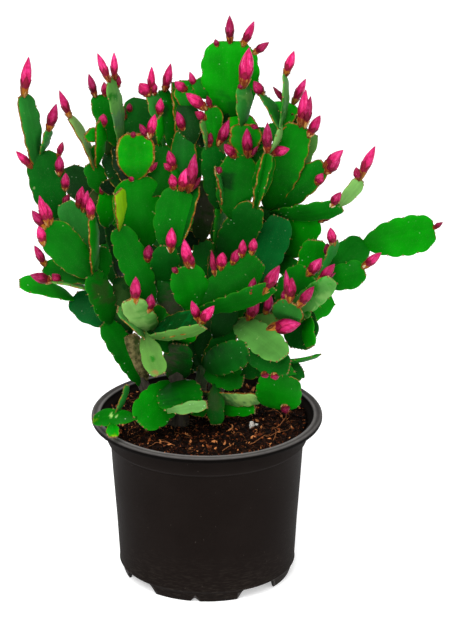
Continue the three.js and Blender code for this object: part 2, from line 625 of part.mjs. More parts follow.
// The pot: one thin wall with a foot ring, a step below the collar and a flat rim.
function potBody() {
  const profile = [
    [0, FLOOR_UNDERSIDE],
    [FOOT_RADIUS - FOOT_THICKNESS, FLOOR_UNDERSIDE],
    [FOOT_RADIUS - FOOT_THICKNESS, 0],
    [FOOT_RADIUS, 0],
    [WALL_FOOT_RADIUS, RIDGE_HEIGHT],
    [WALL_TOP_RADIUS, STEP_HEIGHT - 1.4],
    [STEP_RADIUS, STEP_HEIGHT],
    [COLLAR_RADIUS, POT_HEIGHT - 4.6],
    [COLLAR_RADIUS + 0.9, POT_HEIGHT - 3.4],
    [RIM_RADIUS - 0.6, POT_HEIGHT - 2.9],
    [RIM_RADIUS, POT_HEIGHT - 0.9],
    [RIM_RADIUS - 0.9, POT_HEIGHT],
    [RIM_INNER_RADIUS + 0.5, POT_HEIGHT - 0.2],
    [RIM_INNER_RADIUS - 0.4, POT_HEIGHT - 1],
    [COLLAR_RADIUS - WALL + 0.2, POT_HEIGHT - 4.2],
    [STEP_RADIUS - WALL + 0.1, STEP_HEIGHT + 0.6],
    [WALL_TOP_RADIUS - WALL, STEP_HEIGHT - 1.6],
    [WALL_FOOT_RADIUS - WALL, FLOOR_TOP],
    [0, FLOOR_TOP],
  ];
  const points = profile.map(([r, z]) => new THREE.Vector2(r, z));
  const lathe = new THREE.LatheGeometry(points, POT_SIDES);
  lathe.rotateX(Math.PI / 2);
  let body = solidOf(lathe);
  for (let k = 0; k < DRAIN_HOLES; k += 1) {
    const hole = new THREE.CylinderGeometry(DRAIN_RADIUS, DRAIN_RADIUS, 8, DRAIN_SIDES);
    hole.rotateX(Math.PI / 2);
    hole.translate(DRAIN_CIRCLE, 0, FLOOR_TOP);
    hole.rotateZ((2 * Math.PI * k) / DRAIN_HOLES);
    body = body.subtract(solidOf(hole));
  }
  for (const degrees of FOOT_GAPS) {
    body = body.subtract(footCut(degrees, FOOT_GAP_WIDTH, FOOT_GAP_WIDTH - 4, FOOT_GAP_HEIGHT));
    body = body.subtract(footCut(degrees + 45, FOOT_NICK_WIDTH, 0.8, FOOT_NICK_HEIGHT));
  }
  return body;
}

// A straight cut through the foot ring, narrower above than below. 0 degrees is the front.
function footCut(degrees, wide, narrow, height) {
  const outline = new THREE.Shape();
  outline.moveTo(-wide / 2, -1);
  outline.lineTo(wide / 2, -1);
  outline.lineTo(wide / 2, 0);
  outline.lineTo(narrow / 2, height);
  outline.lineTo(-narrow / 2, height);
  outline.lineTo(-wide / 2, 0);
  outline.closePath();
  const cut = new THREE.ExtrudeGeometry(outline, { depth: 14, bevelEnabled: false });
  cut.rotateX(Math.PI / 2);
  cut.translate(0, -36, 0);
  cut.rotateZ(THREE.MathUtils.degToRad(degrees));
  return solidOf(cut);
}

// The soil: a full pot of it, gently mounded and rough on top, with a plain hole at each stem.
function soilBody() {
  const levels = [
    [WALL_FOOT_RADIUS - WALL - 0.6, FLOOR_TOP + SOIL_GAP],
    [WALL_TOP_RADIUS - WALL - 0.7, STEP_HEIGHT - 1.4],
    [STEP_RADIUS - WALL - 0.6, STEP_HEIGHT + 1],
    [COLLAR_RADIUS - WALL - 0.5, SOIL_TOP - 1.6],
    [46, SOIL_TOP - 0.9],
    [35, SOIL_TOP],
    [22, SOIL_TOP + 0.5],
    [10, SOIL_TOP + 0.6],
  ];
  const rings = levels.map(([radius, z], level) => {
    const points = [];
    for (let k = 0; k < SOIL_SIDES; k += 1) {
      const angle = (2 * Math.PI * k) / SOIL_SIDES;
      const rough = level > 3 ? 0.9 * Math.sin(5.3 * k + 2.7 * level) : 0;
      points.push(new V(radius * Math.cos(angle), radius * Math.sin(angle), z + rough));
    }
    return points;
  });
  let body = ringStack(rings, new V(0, 0, SOIL_TOP + 0.8));
  for (const rows of Object.values(WOOD)) {
    const [, , , , , below, , rootX, rootY] = rows[0];
    const foot = new V(rootX, rootY, SOIL_TOP - ROOT_DEPTH - SOIL_GAP);
    const top = new V(rootX, rootY, SOIL_TOP + 8);
    const up = new V(0, 0, 1);
    const radius = below / 2 + 0.5;
    body = body.subtract(ringStack([
      ring(foot, up, radius, WOOD_SIDES),
      ring(top, up, radius, WOOD_SIDES),
    ]));
  }
  return body;
}

function part(name, body, roughness) {
  const material = new THREE.MeshStandardMaterial({
    color: COLOURS[name],
    roughness,
    metalness: 0,
  });
  const mesh = new THREE.Mesh(geometryOf(body), material);
  mesh.geometry.translate(-SPREAD_X, -SPREAD_Y, 0);
  mesh.name = name;
  return mesh;
}

const group = new THREE.Group();
group.add(part('pot', potBody(), 0.55));
group.add(part('soil', soilBody(), 0.95));
for (const stem of Object.keys(plant)) {
  group.add(part(stem, plant[stem], 0.5));
}

export default group;
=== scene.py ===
"""A holiday cactus in bud, in a round nursery pot: its finished pieces around the fixed frame."""
import json
import math
import random

import bmesh
import bpy
import numpy as np
from mathutils import Matrix, Vector, noise

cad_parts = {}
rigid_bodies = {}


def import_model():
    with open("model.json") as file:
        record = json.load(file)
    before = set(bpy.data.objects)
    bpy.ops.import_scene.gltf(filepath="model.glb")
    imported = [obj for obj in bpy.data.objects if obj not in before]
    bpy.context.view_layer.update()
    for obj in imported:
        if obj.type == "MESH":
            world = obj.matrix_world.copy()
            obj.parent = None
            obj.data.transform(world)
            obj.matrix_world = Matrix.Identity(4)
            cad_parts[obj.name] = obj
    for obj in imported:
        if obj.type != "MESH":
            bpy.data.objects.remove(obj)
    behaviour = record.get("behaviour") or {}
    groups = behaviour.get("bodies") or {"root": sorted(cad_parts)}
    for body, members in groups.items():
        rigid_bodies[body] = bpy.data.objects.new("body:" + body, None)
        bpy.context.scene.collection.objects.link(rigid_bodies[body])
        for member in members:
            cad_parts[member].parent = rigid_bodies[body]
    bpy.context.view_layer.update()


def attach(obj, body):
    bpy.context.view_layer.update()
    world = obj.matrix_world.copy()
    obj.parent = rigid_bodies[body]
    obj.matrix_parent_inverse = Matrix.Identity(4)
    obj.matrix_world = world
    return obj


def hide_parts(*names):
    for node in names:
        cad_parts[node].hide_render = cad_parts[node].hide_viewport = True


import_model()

bl_info = {
    "name": "Potted holiday cactus",
    "version": (1, 0, 0),
    "blender": (4, 5, 0),
    "location": "3D View > Sidebar > Cactus",
    "description": "Builds a holiday cactus in bud, with its soil, nursery pot and studio",
    "category": "Add Mesh",
}

# Lengths are in millimetres until a mesh is made, and are set out from the pot's axis at
# the surface it stands on. The frame's own origin is under the middle of the plant's spread.
MM = 0.001
SPREAD = np.array([12.3, 5.9, 0.0])

# Pot
POT_HEIGHT = 88
RIM_RADIUS = 60
RIM_INNER_RADIUS = 55.6
COLLAR_RADIUS = 53.3
STEP_RADIUS = 52
STEP_HEIGHT = 74.8
WALL_TOP_RADIUS = 50.3
WALL_FOOT_RADIUS = 46
RIDGE_HEIGHT = 6.5
FOOT_RADIUS = 43.7
FOOT_THICKNESS = 1.5
WALL = 1.3
FLOOR_UNDERSIDE = 5.2
FLOOR_TOP = 6.5
FOOT_GAPS = (-143, -53, 37, 127)
FOOT_GAP_HEIGHT = 5.6
FOOT_GAP_WIDTH = 24
FOOT_GAP_TOP_WIDTH = 20
FOOT_NICK_HEIGHT = 2.3
FOOT_NICK_WIDTH = 5
FOOT_NICK_TURN = 45
# Between which depths the gaps and nicks are cut, before they are turned into place
FOOT_CUT = (-50, -36)
DRAIN_HOLES = 6
DRAIN_RADIUS = 4
DRAIN_CIRCLE = 30
DRAIN_SIDES = 32
# Edges that bend by more than this aren't smoothed.
SHARP_ANGLE = math.radians(35)

# Soil
SOIL_TOP = 84
SOIL_GAP = 0.35
SOIL_EDGE = COLLAR_RADIUS - WALL - 0.45
SOIL_STEPS = 150
SOIL_RINGS = 44
# How far from the pot's axis crumbs and fibres lie
CRUMB_REACH = 51.8
FIBRE_REACH = 49
FIBRE_LIMIT = 51
LONG_FIBRE_LIMIT = 52
ROOT_HAIRS = 16
ROOT_HAIR_REACH = 6

# Plant
NECK_WIDTH = 2.6
USUAL_BOW = 0.05
NOTCH_SPACING = 9.5
# The sine below which a segment counts as edge on to the eye
EDGE_ON = 0.3
SMOOTH_SHARE = 0.35
ROOT_INSET = 0.8
BLADE_SINK = 0.8
BLADE_STATIONS = 34
# How far in from its sides and its end a segment's margin shows
MARGIN_REACH = 1.5
END_REACH = 1.1
# How far a bud leans towards the eye, as a part of its length
BUD_LEAN = 0.2
TEPALS = 5
BUD_STEPS = 30
CUP_STEPS = 20
# An outer scale: where it starts on its bud, its half width in radians, its lift in mm
SCALE_START = 0.22
SCALE_SPREAD = 0.62
SCALE_LIFT = 0.10
# A bud up to this length is all young, and one of twice this length is grown.
YOUNG_LENGTH = 6
HUSKS = 6
HUSK_SPREAD = 0.42
HUSK_LIFT = 0.35
BRISTLES = 6
BARK_SIDES = 20
BARK_STEPS = 12
STEM_DEPTH = 14
# Sides of a strand, and how thick its tip is as a part of its foot
BRISTLE = (3, 0.3)
FIBRE = (4, 0.5)

# The plant is set out as it looks from the front, from an eye that looks down at 21 degrees.
# x runs right and h runs up, square to the line of sight, in the plane through the middle of
# the soil. y is true depth: less than 0 in front of the pot's axis, more than 0 behind it.
SIGHT = math.radians(21)
EYE = np.array([9.4, -1400.4, 683.1])
EYE_LENS = 170.7

# Woody stems. Each row: name, what it grows from, end x, h, y, and thickness there. A stem
# that grows from "soil" also gives where it leaves the soil, x and y, and its thickness there.
WOOD = {
    "stem_left": [
        ["La", "soil", -33, 18, 4, 6.2, -26, 5, 6.4],
        ["Lb", "La", -39, 30, 3, 6.4],
        ["Lc", "Lb", -41.5, 43, 2, 5.6],
        ["Ld", "Lc", -45, 70, 8, 5],
    ],
    "stem_centre": [
        ["Ca", "soil", -15.5, 21, -6, 9, -14.5, -8, 9.6],
        ["Cb", "Ca", -16, 38, -4, 9.6],
        ["Cc", "Cb", -21.5, 54, -3, 8.4],
        ["Cd", "Cc", -22.5, 70, -2, 7.4],
    ],
    "stem_right": [
        ["Ra", "soil", 5, 24, 8, 7.6, 6, 11, 8],
        ["Rb", "Ra", 10, 48, 6, 7],
    ],
    "stem_front": [
        ["Va", "soil", -3, 14, 4, 6, -3, 6, 6.4],
        ["Vb", "Va", -2, 28, -2, 6],
    ],
}

# Flat green segments. Each row: name, what it grows from, base x, h, tip x, h, y, width,
# turn about its length in degrees (0 faces the eye, 90 is edge on), and bow as a part of its
# length, where it has one. The base is moved onto what the segment grows from.
BLADES = {
    "stem_left": [
        ["L1", "La", -36, 15, -53.5, 50, -6, 14, 20],
        ["L6", "La", -33, 19, -40.5, 43.5, -2, 13, 15],
        ["K0", "Lc", -41, 43, -44, 74, -3, 13, 0],
        ["N5", "L1", -50, 50, -60.5, 76, -20, 15, 30],
        ["N4", "L1", -52, 49, -69.5, 63.5, 2, 14.5, 0],
        ["N3", "N4", -69.5, 62.5, -97.5, 70.5, -4, 15, 60],
        ["N2", "N5", -58, 66, -81, 71.5, -14, 12, 80],
        ["N8", "N5", -59, 72, -84.5, 79.5, -6, 12, 20],
        ["N1", "N5", -60.5, 74, -83.5, 100.5, -30, 18, 0],
        ["N6", "N5", -59.5, 76, -60.3, 105, -26, 13, 68],
        ["N7", "N5", -57, 72, -55, 89.5, -8, 11, 20],
        ["N9", "N5", -60, 82, -74, 112.5, -14, 14, 0],
        ["N10", "N5", -61, 84, -84, 111, -6, 8, 0],
        ["L3", "N10", -79, 103, -86.5, 139, -2, 18.5, 0],
        ["L4", "L3", -90, 133, -96.2, 168.5, -6, 15, 50],
        ["L5", "L3", -86.5, 138, -82.5, 150.5, -2, 11, 74],
        ["K1", "Ld", -45, 70, -52, 101, 4, 12, 58],
        ["K2", "K1", -52.5, 101, -52.5, 118.5, -4, 12, 25],
        ["K3", "K2", -54, 118, -61, 133, -4, 11, 20],
        ["K4", "K3", -59, 130, -71.5, 157, -2, 14, 74],
        ["K5", "K3", -57.5, 131, -56.3, 155, -12, 11, 60],
        ["K8", "K5", -58, 145.5, -62.3, 149.5, -13, 7.5, 0],
        ["J1", "Ld", -44, 66, -50, 92, 36, 15, 20],
        ["J2", "J1", -54, 91, -62, 112, 56, 17, -10],
        ["J3", "J1", -47, 92, -45, 118, 48, 17, 15],
        ["J4", "J2", -62, 112, -72, 131, 70, 15, 10],
    ],
    "stem_centre": [
        ["P0", "Cb", -17, 36, -33, 44, -22, 11, 30],
        ["O2", "P0", -33.5, 45, -24.5, 23, -32, 11.5, 10],
        ["O1", "P0", -28, 45, -40.5, 62, -36, 13.5, -15],
        ["O3", "P0", -36, 44, -46.5, 57, -24, 12, 66],
        ["O5", "P0", -29, 45, -3, 50.5, -38, 16, -42],
        ["O6", "P0", -31, 42.5, -2, 48, -45, 10, 58],
        ["M0", "Cb", -18, 36, -28.5, 58, -18, 11, 15],
        ["M4", "M0", -29, 58, -46, 99.5, -22, 15.5, 15],
        ["Y0", "M4", -45.5, 99, -46, 118.5, -26, 14, 70],
        ["C1", "Cd", -22.5, 69, -33, 89, -6, 14, 20],
        ["M2", "C1", -33, 88.5, -37, 125.5, -14, 25, 0],
        ["M1", "M2", -37, 125, -36.5, 148.5, -20, 19, 0],
        ["M5", "Cd", -21, 66, -20.5, 90, -26, 15, 0],
        ["C2", "Cb", -13, 38, -5, 57, -20, 13, 10],
        ["C5", "Cb", -18, 40, -22, 74.5, -12, 12.5, 0],
        ["M6", "C2", -4, 56.5, -11.5, 79.5, -32, 18.5, 0],
        ["M3", "M5", -20.5, 88, -14.5, 119.8, -18, 19.5, 0],
        ["M10", "M3", -10.5, 93, -5.4, 121, -14, 11, -52],
        ["M7", "C2", -6, 56.5, 27, 83, -36, 18, 0],
        ["M8", "C2", -4, 58, 34, 69, -46, 13, 45],
        ["A1", "Ca", -20, 18, -35, -2.5, -38, 20, 0],
        ["A2", "A1", -39, -1.5, -59, 0, -30, 10, 30],
        ["A3", "A2", -49, -3, -49, -9.5, -43, 6.5, 0],
        ["A4", "A2", -47, 2.5, -41.3, 17.5, -26, 8, 72],
        ["A5", "Ca", -14, 20, -11.5, 4.5, -44, 23, 0],
        ["A7", "A5", -20, 3.2, 0, 7.5, -47, 6, 0],
        ["A6", "Ca", -12, 12, 0, 3, -16, 9, 0],
        ["C4", "Ca", -15, 19, -14, 39, -13, 15, 0],
        ["P1", "M2", -29, 117, -18.5, 141.5, -4, 21, 0],
        ["P2", "P1", -25, 143, -25, 157, -6, 10, 62],
        ["P3", "P1", -18, 141, -22.5, 171, 8, 11, 25],
        ["P4", "P1", -14, 138, -17, 175, 10, 12, 58],
        ["P6", "P1", -22, 143, -29, 170, 2, 10, 45],
        ["M9", "M3", -14.5, 119, -17, 130.5, -16, 6, 40],
        ["R1", "M3", -11.5, 117.5, -12.3, 150, -6, 12.5, 0],
        ["R3", "R1", -7, 143, -11.5, 164.5, 0, 12, 0],
        ["R4", "R3", -10.5, 161, -11, 176, 8, 12, 0],
        ["Q0", "M2", -41, 122, -45, 143, 0, 12, 0],
        ["Q1", "Q0", -47, 142, -56, 168.5, 10, 15, 25],
        ["Q2", "Q0", -45, 143, -50.8, 176, -10, 15, 66],
        ["Q3", "Q0", -41, 137, -34.5, 166.5, 20, 17, 0],
        ["Q5", "M2", -45, 120, -50, 139, 14, 12, 0],
        ["B1", "Cd", -20, 66, -16, 96, 34, 20, 0],
        ["B2", "B1", -20, 95, -34, 124, 44, 19, 20],
        ["B3", "B1", -13, 95, -6, 120, 60, 20, -10],
        ["B4", "B2", -34, 123, -36, 146, 60, 18, 10],
        ["B5", "B3", -12, 121, -8, 146, 58, 18, -10],
        ["B6", "Cb", -15, 36, -20, 52, 44, 17, 10],
        ["B8", "B6", -19, 51, -6, 64, 64, 17, 0],
    ],
    "stem_right": [
        ["D0", "Rb", 10, 47, 21, 76, -8, 14, 20],
        ["D1", "D0", 21.5, 75, 31.5, 110, 0, 14, 10],
        ["D5", "D0", 25, 72, 38.5, 105, -8, 17, 0],
        ["G0", "Rb", 9, 44, 4.5, 88, 6, 12, 10],
        ["G1", "G0", 4.3, 87.5, 7, 112, -6, 10, 50],
        ["G4", "G0", 6, 60, -3, 93, 12, 13, 0],
        ["G5", "G4", -3, 92, -2.5, 124, 8, 13, 0],
        ["G2", "G1", 6.5, 108, 4.3, 129.5, -26, 8, 78],
        ["U1", "G0", 7, 84, 25, 111.5, -18, 18, 0],
        ["T1", "U1", 14, 106, 17.3, 137.5, -14, 19.5, 0],
        ["T2", "U1", 25, 111, 31.5, 139, -20, 14, 55],
        ["T8", "U1", 26, 110.5, 32.5, 138, -22, 10, -45],
        ["F1", "T1", 20, 137, 20.8, 153.3, -8, 16.5, 0],
        ["F2", "T1", 15.5, 137, 18.5, 158.3, 4, 16, 0],
        ["F3", "F2", 11.5, 157, 11.2, 196.5, 4, 29, 0],
        ["F4", "F1", 18, 152, 19, 173.5, -8, 12, 52],
        ["E1", "T2", 33, 138, 38.5, 153, -16, 9, 68],
        ["E2", "E1", 36, 151.5, 29, 168.5, -6, 12, 66],
        ["E3", "E1", 37.5, 152, 40.5, 179, -6, 14, 78],
        ["E4", "E1", 38.5, 151.5, 41, 164.5, 0, 14.5, 0],
        ["T3", "D1", 31, 109, 47, 153.5, -14, 19, 0],
        ["D3", "D1", 34, 108, 55.5, 148.5, 6, 10, 0],
        ["T4", "D1", 33.5, 109.5, 61.5, 132, -14, 14, 0],
        ["T5", "D1", 33, 107, 70, 110.5, -22, 12, 45],
        ["T6", "T5", 70, 111, 80, 124.5, -20, 7.5, 20],
        ["D4", "D0", 22, 72, 40, 86, 8, 12, 20],
        ["D7", "Rb", 10, 47, 41, 66, 10, 20, 0],
        ["D6", "D4", 38, 84, 46.5, 74.5, -2, 11, 0],
        ["T7", "D4", 42, 86, 55.5, 106, -6, 18, 0],
        ["S1", "G1", 3.5, 110, 2.5, 142.5, -8, 13.5, 10],
        ["S2", "S1", 3.8, 142, 2.5, 162.5, -4, 9.5, 10],
        ["S3", "S1", -0.5, 141.5, -3, 155, -10, 9, 76],
        ["X0", "Rb", 12, 46, 40.5, 51.5, -16, 13, 25],
        ["X2", "X0", 42, 52, 54.5, 75, -34, 24, -15],
        ["X9", "X0", 43, 52, 65.5, 72.3, -44, 12, 15],
        ["X1", "X0", 39, 51, 44.5, 60.5, -40, 16, 0],
        ["X5", "X0", 41, 52, 61, 72.5, -10, 15, 20],
        ["X6", "X5", 61, 75, 81.8, 92, 8, 16.5, 0],
        ["X7", "X5", 63, 72.5, 81.8, 77.8, -14, 14, 0],
        ["X8", "X6", 82.3, 91.8, 118.3, 98.8, 10, 20, 0],
        ["X3", "X5", 53, 71, 56.5, 93, -14, 15, 0],
        ["X4", "X5", 58, 75, 66.2, 92, -20, 12, 74],
        ["Z1", "X0", 40, 49, 65.5, 62, 0, 11.5, 10],
        ["Z3", "X5", 51, 59, 47.5, 36.5, -22, 17, 0],
        ["Z4", "Z3", 52.5, 57, 54, 37.5, -28, 9, 48],
        ["H1", "Rb", 10, 47, 18, 62, 34, 15, 0],
        ["H2", "H1", 18, 62, 30, 84, 50, 18, 10],
        ["H3", "H1", 12, 60, -2, 92, 46, 20, -15],
        ["H4", "H2", 30, 83, 40, 108, 50, 18, 0],
        ["H5", "H3", 8, 87, 12, 116, 50, 18, 10],
        ["H6", "H4", 40, 107, 36, 132, 52, 17, -10],
        ["H7", "H5", 12, 115, 20, 140, 44, 18, 10],
        ["H8", "Ra", 6, 24, 18, 38, 48, 16, 10],
    ],
    "stem_front": [
        ["V1", "Vb", -2, 28, 21.5, 36.5, -38, 15.5, 0],
        ["V2", "Vb", -1.5, 25, 19, 20, -18, 13, 0],
        ["V3", "Va", -2, 14.5, 27.5, 11.5, -26, 13, 58],
        ["V0", "Vb", -1, 27, 16.5, 52, -10, 11, 10],
        ["V9", "V0", 4, 44, 12.5, 59, -14, 12, 0],
        ["V10", "Vb", -2, 27, -1.5, 48, 0, 9, 0],
        ["V6", "V0", 15, 50.5, 39.5, 31.8, -54, 16, -15],
        ["V5", "V1", 20.5, 34, 43, 27, -50, 13.5, 10],
        ["V4", "V5", 38, 31, 36.5, 5.5, -24, 23, 0],
        ["V7", "V4", 47, 30, 58.5, 33.3, -40, 8, 80],
        ["V8", "Vb", -3, 26, -8, 47, 4, 11.5, 20],
        ["W1", "V2", 5, 16, 4.5, -3, -22, 9, 0],
        ["W2", "Va", 1, 6, 25, 5, -16, 8, 0],
    ],
}

# Flower buds. Each row: the segment that carries it, root x, h, tip x, h, and thickness.
BUDS = [
    ["L4", -95.6, 167.5, -92.7, 188.5, 5.3],
    ["L5", -83, 150, -78.3, 164, 5],
    ["L3", -91, 130.5, -99.3, 139.3, 3.8],
    ["L3", -77, 126.5, -76.5, 137, 4.5],
    ["L3", -73.5, 119, -73.5, 128, 4.3],
    ["N1", -85.5, 103.5, -87.2, 116.3, 4.5],
    ["N1", -83.5, 104, -84, 112.5, 4],
    ["N1", -86, 101, -91, 108.5, 4.5],
    ["N1", -85.8, 90, -87.5, 100.5, 4.5],
    ["N8", -85, 79.5, -89.8, 90.3, 4],
    ["N2", -81, 73, -92, 75, 5.2],
    ["N2", -76, 72, -80.5, 75.5, 4.5],
    ["N9", -67, 110, -64.8, 121, 4.5],
    ["N9", -64, 108, -62, 118.8, 4],
    ["N6", -60.5, 104.5, -60.8, 115.3, 4.5],
    ["K4", -71.7, 157, -76.8, 171, 4],
    ["K5", -55, 152, -53.7, 158.7, 4.5],
    ["Q1", -58.5, 168.5, -61.5, 179.6, 3.8],
    ["Q2", -51, 176, -57, 190.3, 4],
    ["Q2", -48.7, 176, -48.3, 190.9, 3.6],
    ["Q3", -43, 155, -46.8, 163.8, 5],
    ["P6", -30, 168, -35, 174.7, 6],
    ["P6", -29.5, 170, -28.7, 183.4, 3.6],
    ["P6", -28, 168, -28, 176, 3.8],
    ["P6", -26, 157.5, -24, 167, 4],
    ["P3", -22.3, 170.5, -18.8, 185, 4.5],
    ["R4", -10.5, 170, -16.8, 175.5, 4.5],
    ["R4", -6, 172, -9, 180.7, 3.2],
    ["S2", -0.5, 161, -11, 169.5, 5.5],
    ["R1", -12, 149.5, -15.5, 160, 4.4],
    ["M9", -17.3, 130, -20, 139.5, 4.6],
    ["M3", -17, 119.5, -18.3, 127.3, 4.4],
    ["M3", -13.5, 119.5, -10.5, 130.5, 5.2],
    ["M3", -8.5, 121, -6.2, 138, 5.6],
    ["M1", -29, 146.5, -27, 158.5, 4.5],
    ["M1", -30, 146, -35, 153.5, 3.5],
    ["M4", -32, 82.5, -30, 90.5, 5.2],
    ["M5", -18.8, 87.5, -18.3, 99.5, 5.2],
    ["M6", -9.5, 79, -11.8, 93.5, 5.2],
    ["M6", -7.5, 79, -10.5, 87.5, 4.5],
    ["M7", 8, 79.5, 8.3, 86.7, 5.2],
    ["M7", 14.2, 81.5, 16.7, 88.5, 4.4],
    ["M7", 19, 85, 18.8, 93.3, 4],
    ["M7", 23.5, 87, 24.6, 94, 4.2],
    ["M8", 23, 66.5, 24.7, 73.5, 4],
    ["M8", 29.5, 66.5, 37.8, 79.8, 6],
    ["O1", -37.5, 60.5, -37, 74, 5.2],
    ["O1", -31, 57, -28.7, 65, 5],
    ["O5", -4, 50.5, -8, 61.5, 4.2],
    ["O5", -2, 49.5, 3.8, 58.9, 5],
    ["S1", 6.8, 142.5, 11.5, 155.5, 5],
    ["T1", 15, 136, 9, 143, 4.6],
    ["T1", 21.5, 138.5, 20.8, 151.3, 5.2],
    ["T2", 31.3, 139, 31.5, 154.3, 4.7],
    ["T2", 33, 138, 43, 140.5, 4.9],
    ["E2", 29.2, 168, 24.3, 175.8, 5],
    ["E3", 40.7, 178.5, 45.4, 191.5, 4.4],
    ["T3", 48.5, 152.5, 51.5, 171.5, 4.8],
    ["T3", 51, 152, 54, 168, 4.2],
    ["E4", 46.5, 163, 51.5, 177, 4.2],
    ["T3", 52.7, 147, 59, 158, 4.8],
    ["F4", 18.8, 172.5, 22, 193.2, 7],
    ["F2", 19.4, 158, 21.7, 165.8, 4],
    ["F3", 12, 195.5, 11.8, 210, 4.3],
    ["F3", 18.5, 194, 24.6, 207, 4.2],
    ["F3", 24, 190.5, 32.4, 196, 3.8],
    ["T4", 61, 131, 71, 140, 5],
    ["T4", 62, 128, 69.5, 135.5, 5],
    ["T4", 58, 122.5, 60.5, 128, 4.6],
    ["T5", 64.5, 111, 69.8, 118, 4.6],
    ["T7", 59.5, 104, 67, 107.6, 3.6],
    ["T6", 79.7, 125, 87.6, 142, 4.8],
    ["X4", 63.5, 91, 64.2, 99.6, 4.6],
    ["X2", 52.5, 74.5, 59.8, 83.6, 5.5],
    ["X2", 61.5, 75, 66.5, 80.6, 4.8],
    ["X1", 40.5, 61, 41.3, 68, 4],
    ["X1", 43.3, 61.5, 44.2, 73.5, 5.4],
    ["X1", 43, 62, 41, 77.5, 3.4],
    ["X1", 48, 59.5, 55.8, 69, 4.8],
    ["X0", 36.5, 53, 44.5, 59, 5],
    ["X0", 31, 56.5, 33.5, 64.3, 4.4],
    ["X7", 82.5, 79, 90.8, 86.6, 4.4],
    ["X8", 120, 99.5, 122.8, 102.4, 2.4],
    ["V6", 33, 44.5, 48.8, 49.6, 7.4],
    ["V6", 24.5, 52, 26.5, 62.6, 5.8],
    ["V5", 30.5, 25, 31.3, 21.3, 4.6],
    ["V5", 35.5, 24.5, 36.2, 20.2, 4.6],
    ["V4", 40.3, 9.5, 41.4, 2.8, 4.6],
]

# Small buds just breaking from an areole, set out as the buds are.
YOUNG_BUDS = [
    ["X2", 66.5, 73.5, 67, 76, 2.4],
    ["M2", -40, 124, -38.6, 126.6, 2.6],
    ["F4", 17.5, 171.5, 17.3, 174.5, 2.6],
    ["T1", 25.5, 138.5, 26.5, 142, 2.6],
    ["F3", 5.5, 193.5, 4.3, 197.6, 2.6],
    ["M6", -15, 76.5, -18.3, 78.6, 3],
    ["G2", 5, 128, 7.5, 131, 3.4],
    ["K2", -55, 117.5, -55, 122, 3],
    ["F1", 22, 153, 27, 151.5, 2.6],
    ["Q2", -46.5, 174, -46, 179, 3],
    ["Q3", -40.5, 159, -40.2, 164.3, 3],
    ["M1", -28.3, 129, -25.7, 133.5, 3.2],
    ["S2", 2, 162, 0, 168.2, 2.8],
    ["L3", -71.5, 111.5, -71.8, 117, 3.5],
    ["M9", -18, 129.5, -22.5, 133, 3.5],
    ["M7", 2, 80, 2.4, 87.7, 3],
    ["M3", -8, 120, -2.8, 126, 3],
    ["S1", 1, 142, 2, 149, 3.4],
    ["E3", 38, 165, 34.3, 173, 2.6],
    ["L3", -76, 136.5, -75, 144.2, 3.2],
    ["S2", -1, 156, -6.2, 159.8, 4],
    ["X4", 60.2, 85.5, 62.5, 91.5, 4],
    ["T6", 78.8, 124.5, 77.6, 131, 3.8],
    ["Q1", -53, 167.5, -53.5, 175.5, 3.5],
    ["M1", -38.5, 146.5, -38.2, 149.5, 3],
]

# Small segments deep in the plant, filling gaps in its middle; most have dark tones, a painted
# shade
# there. Each row: parent, x and h of the root and of the tip, how far back the tip stands from
# the root in mm, and width.
INNER = [
    ["I1", "V2", 18.5, 22.5, 29, 27.5, 3, 9],
    ["I2", "F2", 22, 139, 31, 150, 11, 10],
    ["I3", "F2", 21.5, 135, 31.5, 136.5, 9, 10],
    ["I4", "G5", -4.6, 94.5, -11, 91.5, 4, 11],
    ["I5", "V4", 43, 24.5, 49, 27, 3, 11],
    ["I6", "Q5", -50.5, 136.5, -52.2, 145.5, 3, 6],
    ["I7", "Q5", -48.5, 123.5, -52.8, 118, 2, 8],
    ["I8", "V10", 0.8, 46, 0.5, 54.5, 2, 7.5],
    ["I9", "K2", -54.5, 114, -60, 117.8, 5, 7],
    ["I10", "P6", -24, 147.5, -29.7, 144, 3, 9],
    ["I11", "R3", -5.8, 147.2, -0.3, 145.2, 3, 9],
    ["I12", "F3", 10.8, 160, 8.9, 152.5, 3, 6],
    ["I13", "V8", -5.2, 29, -9.6, 25.6, 2, 6],
    ["I14", "K4", -61.5, 138.5, -56.8, 138.5, 3, 8],
    ["I15", "E4", 44, 157, 48.2, 153.2, 3, 6],
    ["I16", "F2", 11.5, 143.5, 6.2, 141.2, 2, 7],
    ["I17", "F3", 1, 167, -5.2, 176.5, 3, 9],
    ["I18", "T3", 39, 147.5, 30.5, 151, 5, 9],
]

# The green of each segment. A segment that isn't named is "leaf".
# These tones are partly each segment's own green and partly painted light and shade: bright stands
# for full light; shade, deep, blue and darkest are painted shade low and deep in the plant; pale,
# lit and sage are a painted sheen on undersides and glancing faces.
TONES = {
    "bright": "M1 F3 F2 E4 X8 T7 W2 A3 N3 Z1 K2 B2 B4 P2 C2 Z4 K5",
    "fresh": "M2 M6 A1 A2 T3 X7 V4 K8 P4 X3 F1 H4 J3 B3 A6 S2 R4 N6 I17 I18",
    "shade": "L3 U1 D1 V5 B1 B5 B8 Z3 H5 H6 H8 M5 P0 S1 Q3 M10 W1 V1 C4 C5 V0 G4 R1 I1 I5",
    "deep": "K1 D4 D7 C1 H1 H2 Q5 G0 J2 J4 B6 H3 K0 V10 V9 V8 R3 I12 I13",
    "darkest": "Q0 I4 I7 I11",
    "cork": "L6 G5 N10 I8 I9 I10",
    "pale": "O1 E1 T6 V3 K4 A7",
    "sage": "O2 O3 V6 X0 E3 S3 Q2 X9 D3 N2 O6",
    "dusty": "L4 L5 A4 G2 X5 P6 X1 N9 F4 X4 E2",
    "blue": "D5 O5 N4",
    "yellow": "Y0",
    "olive": "I6 I15 I16",
}
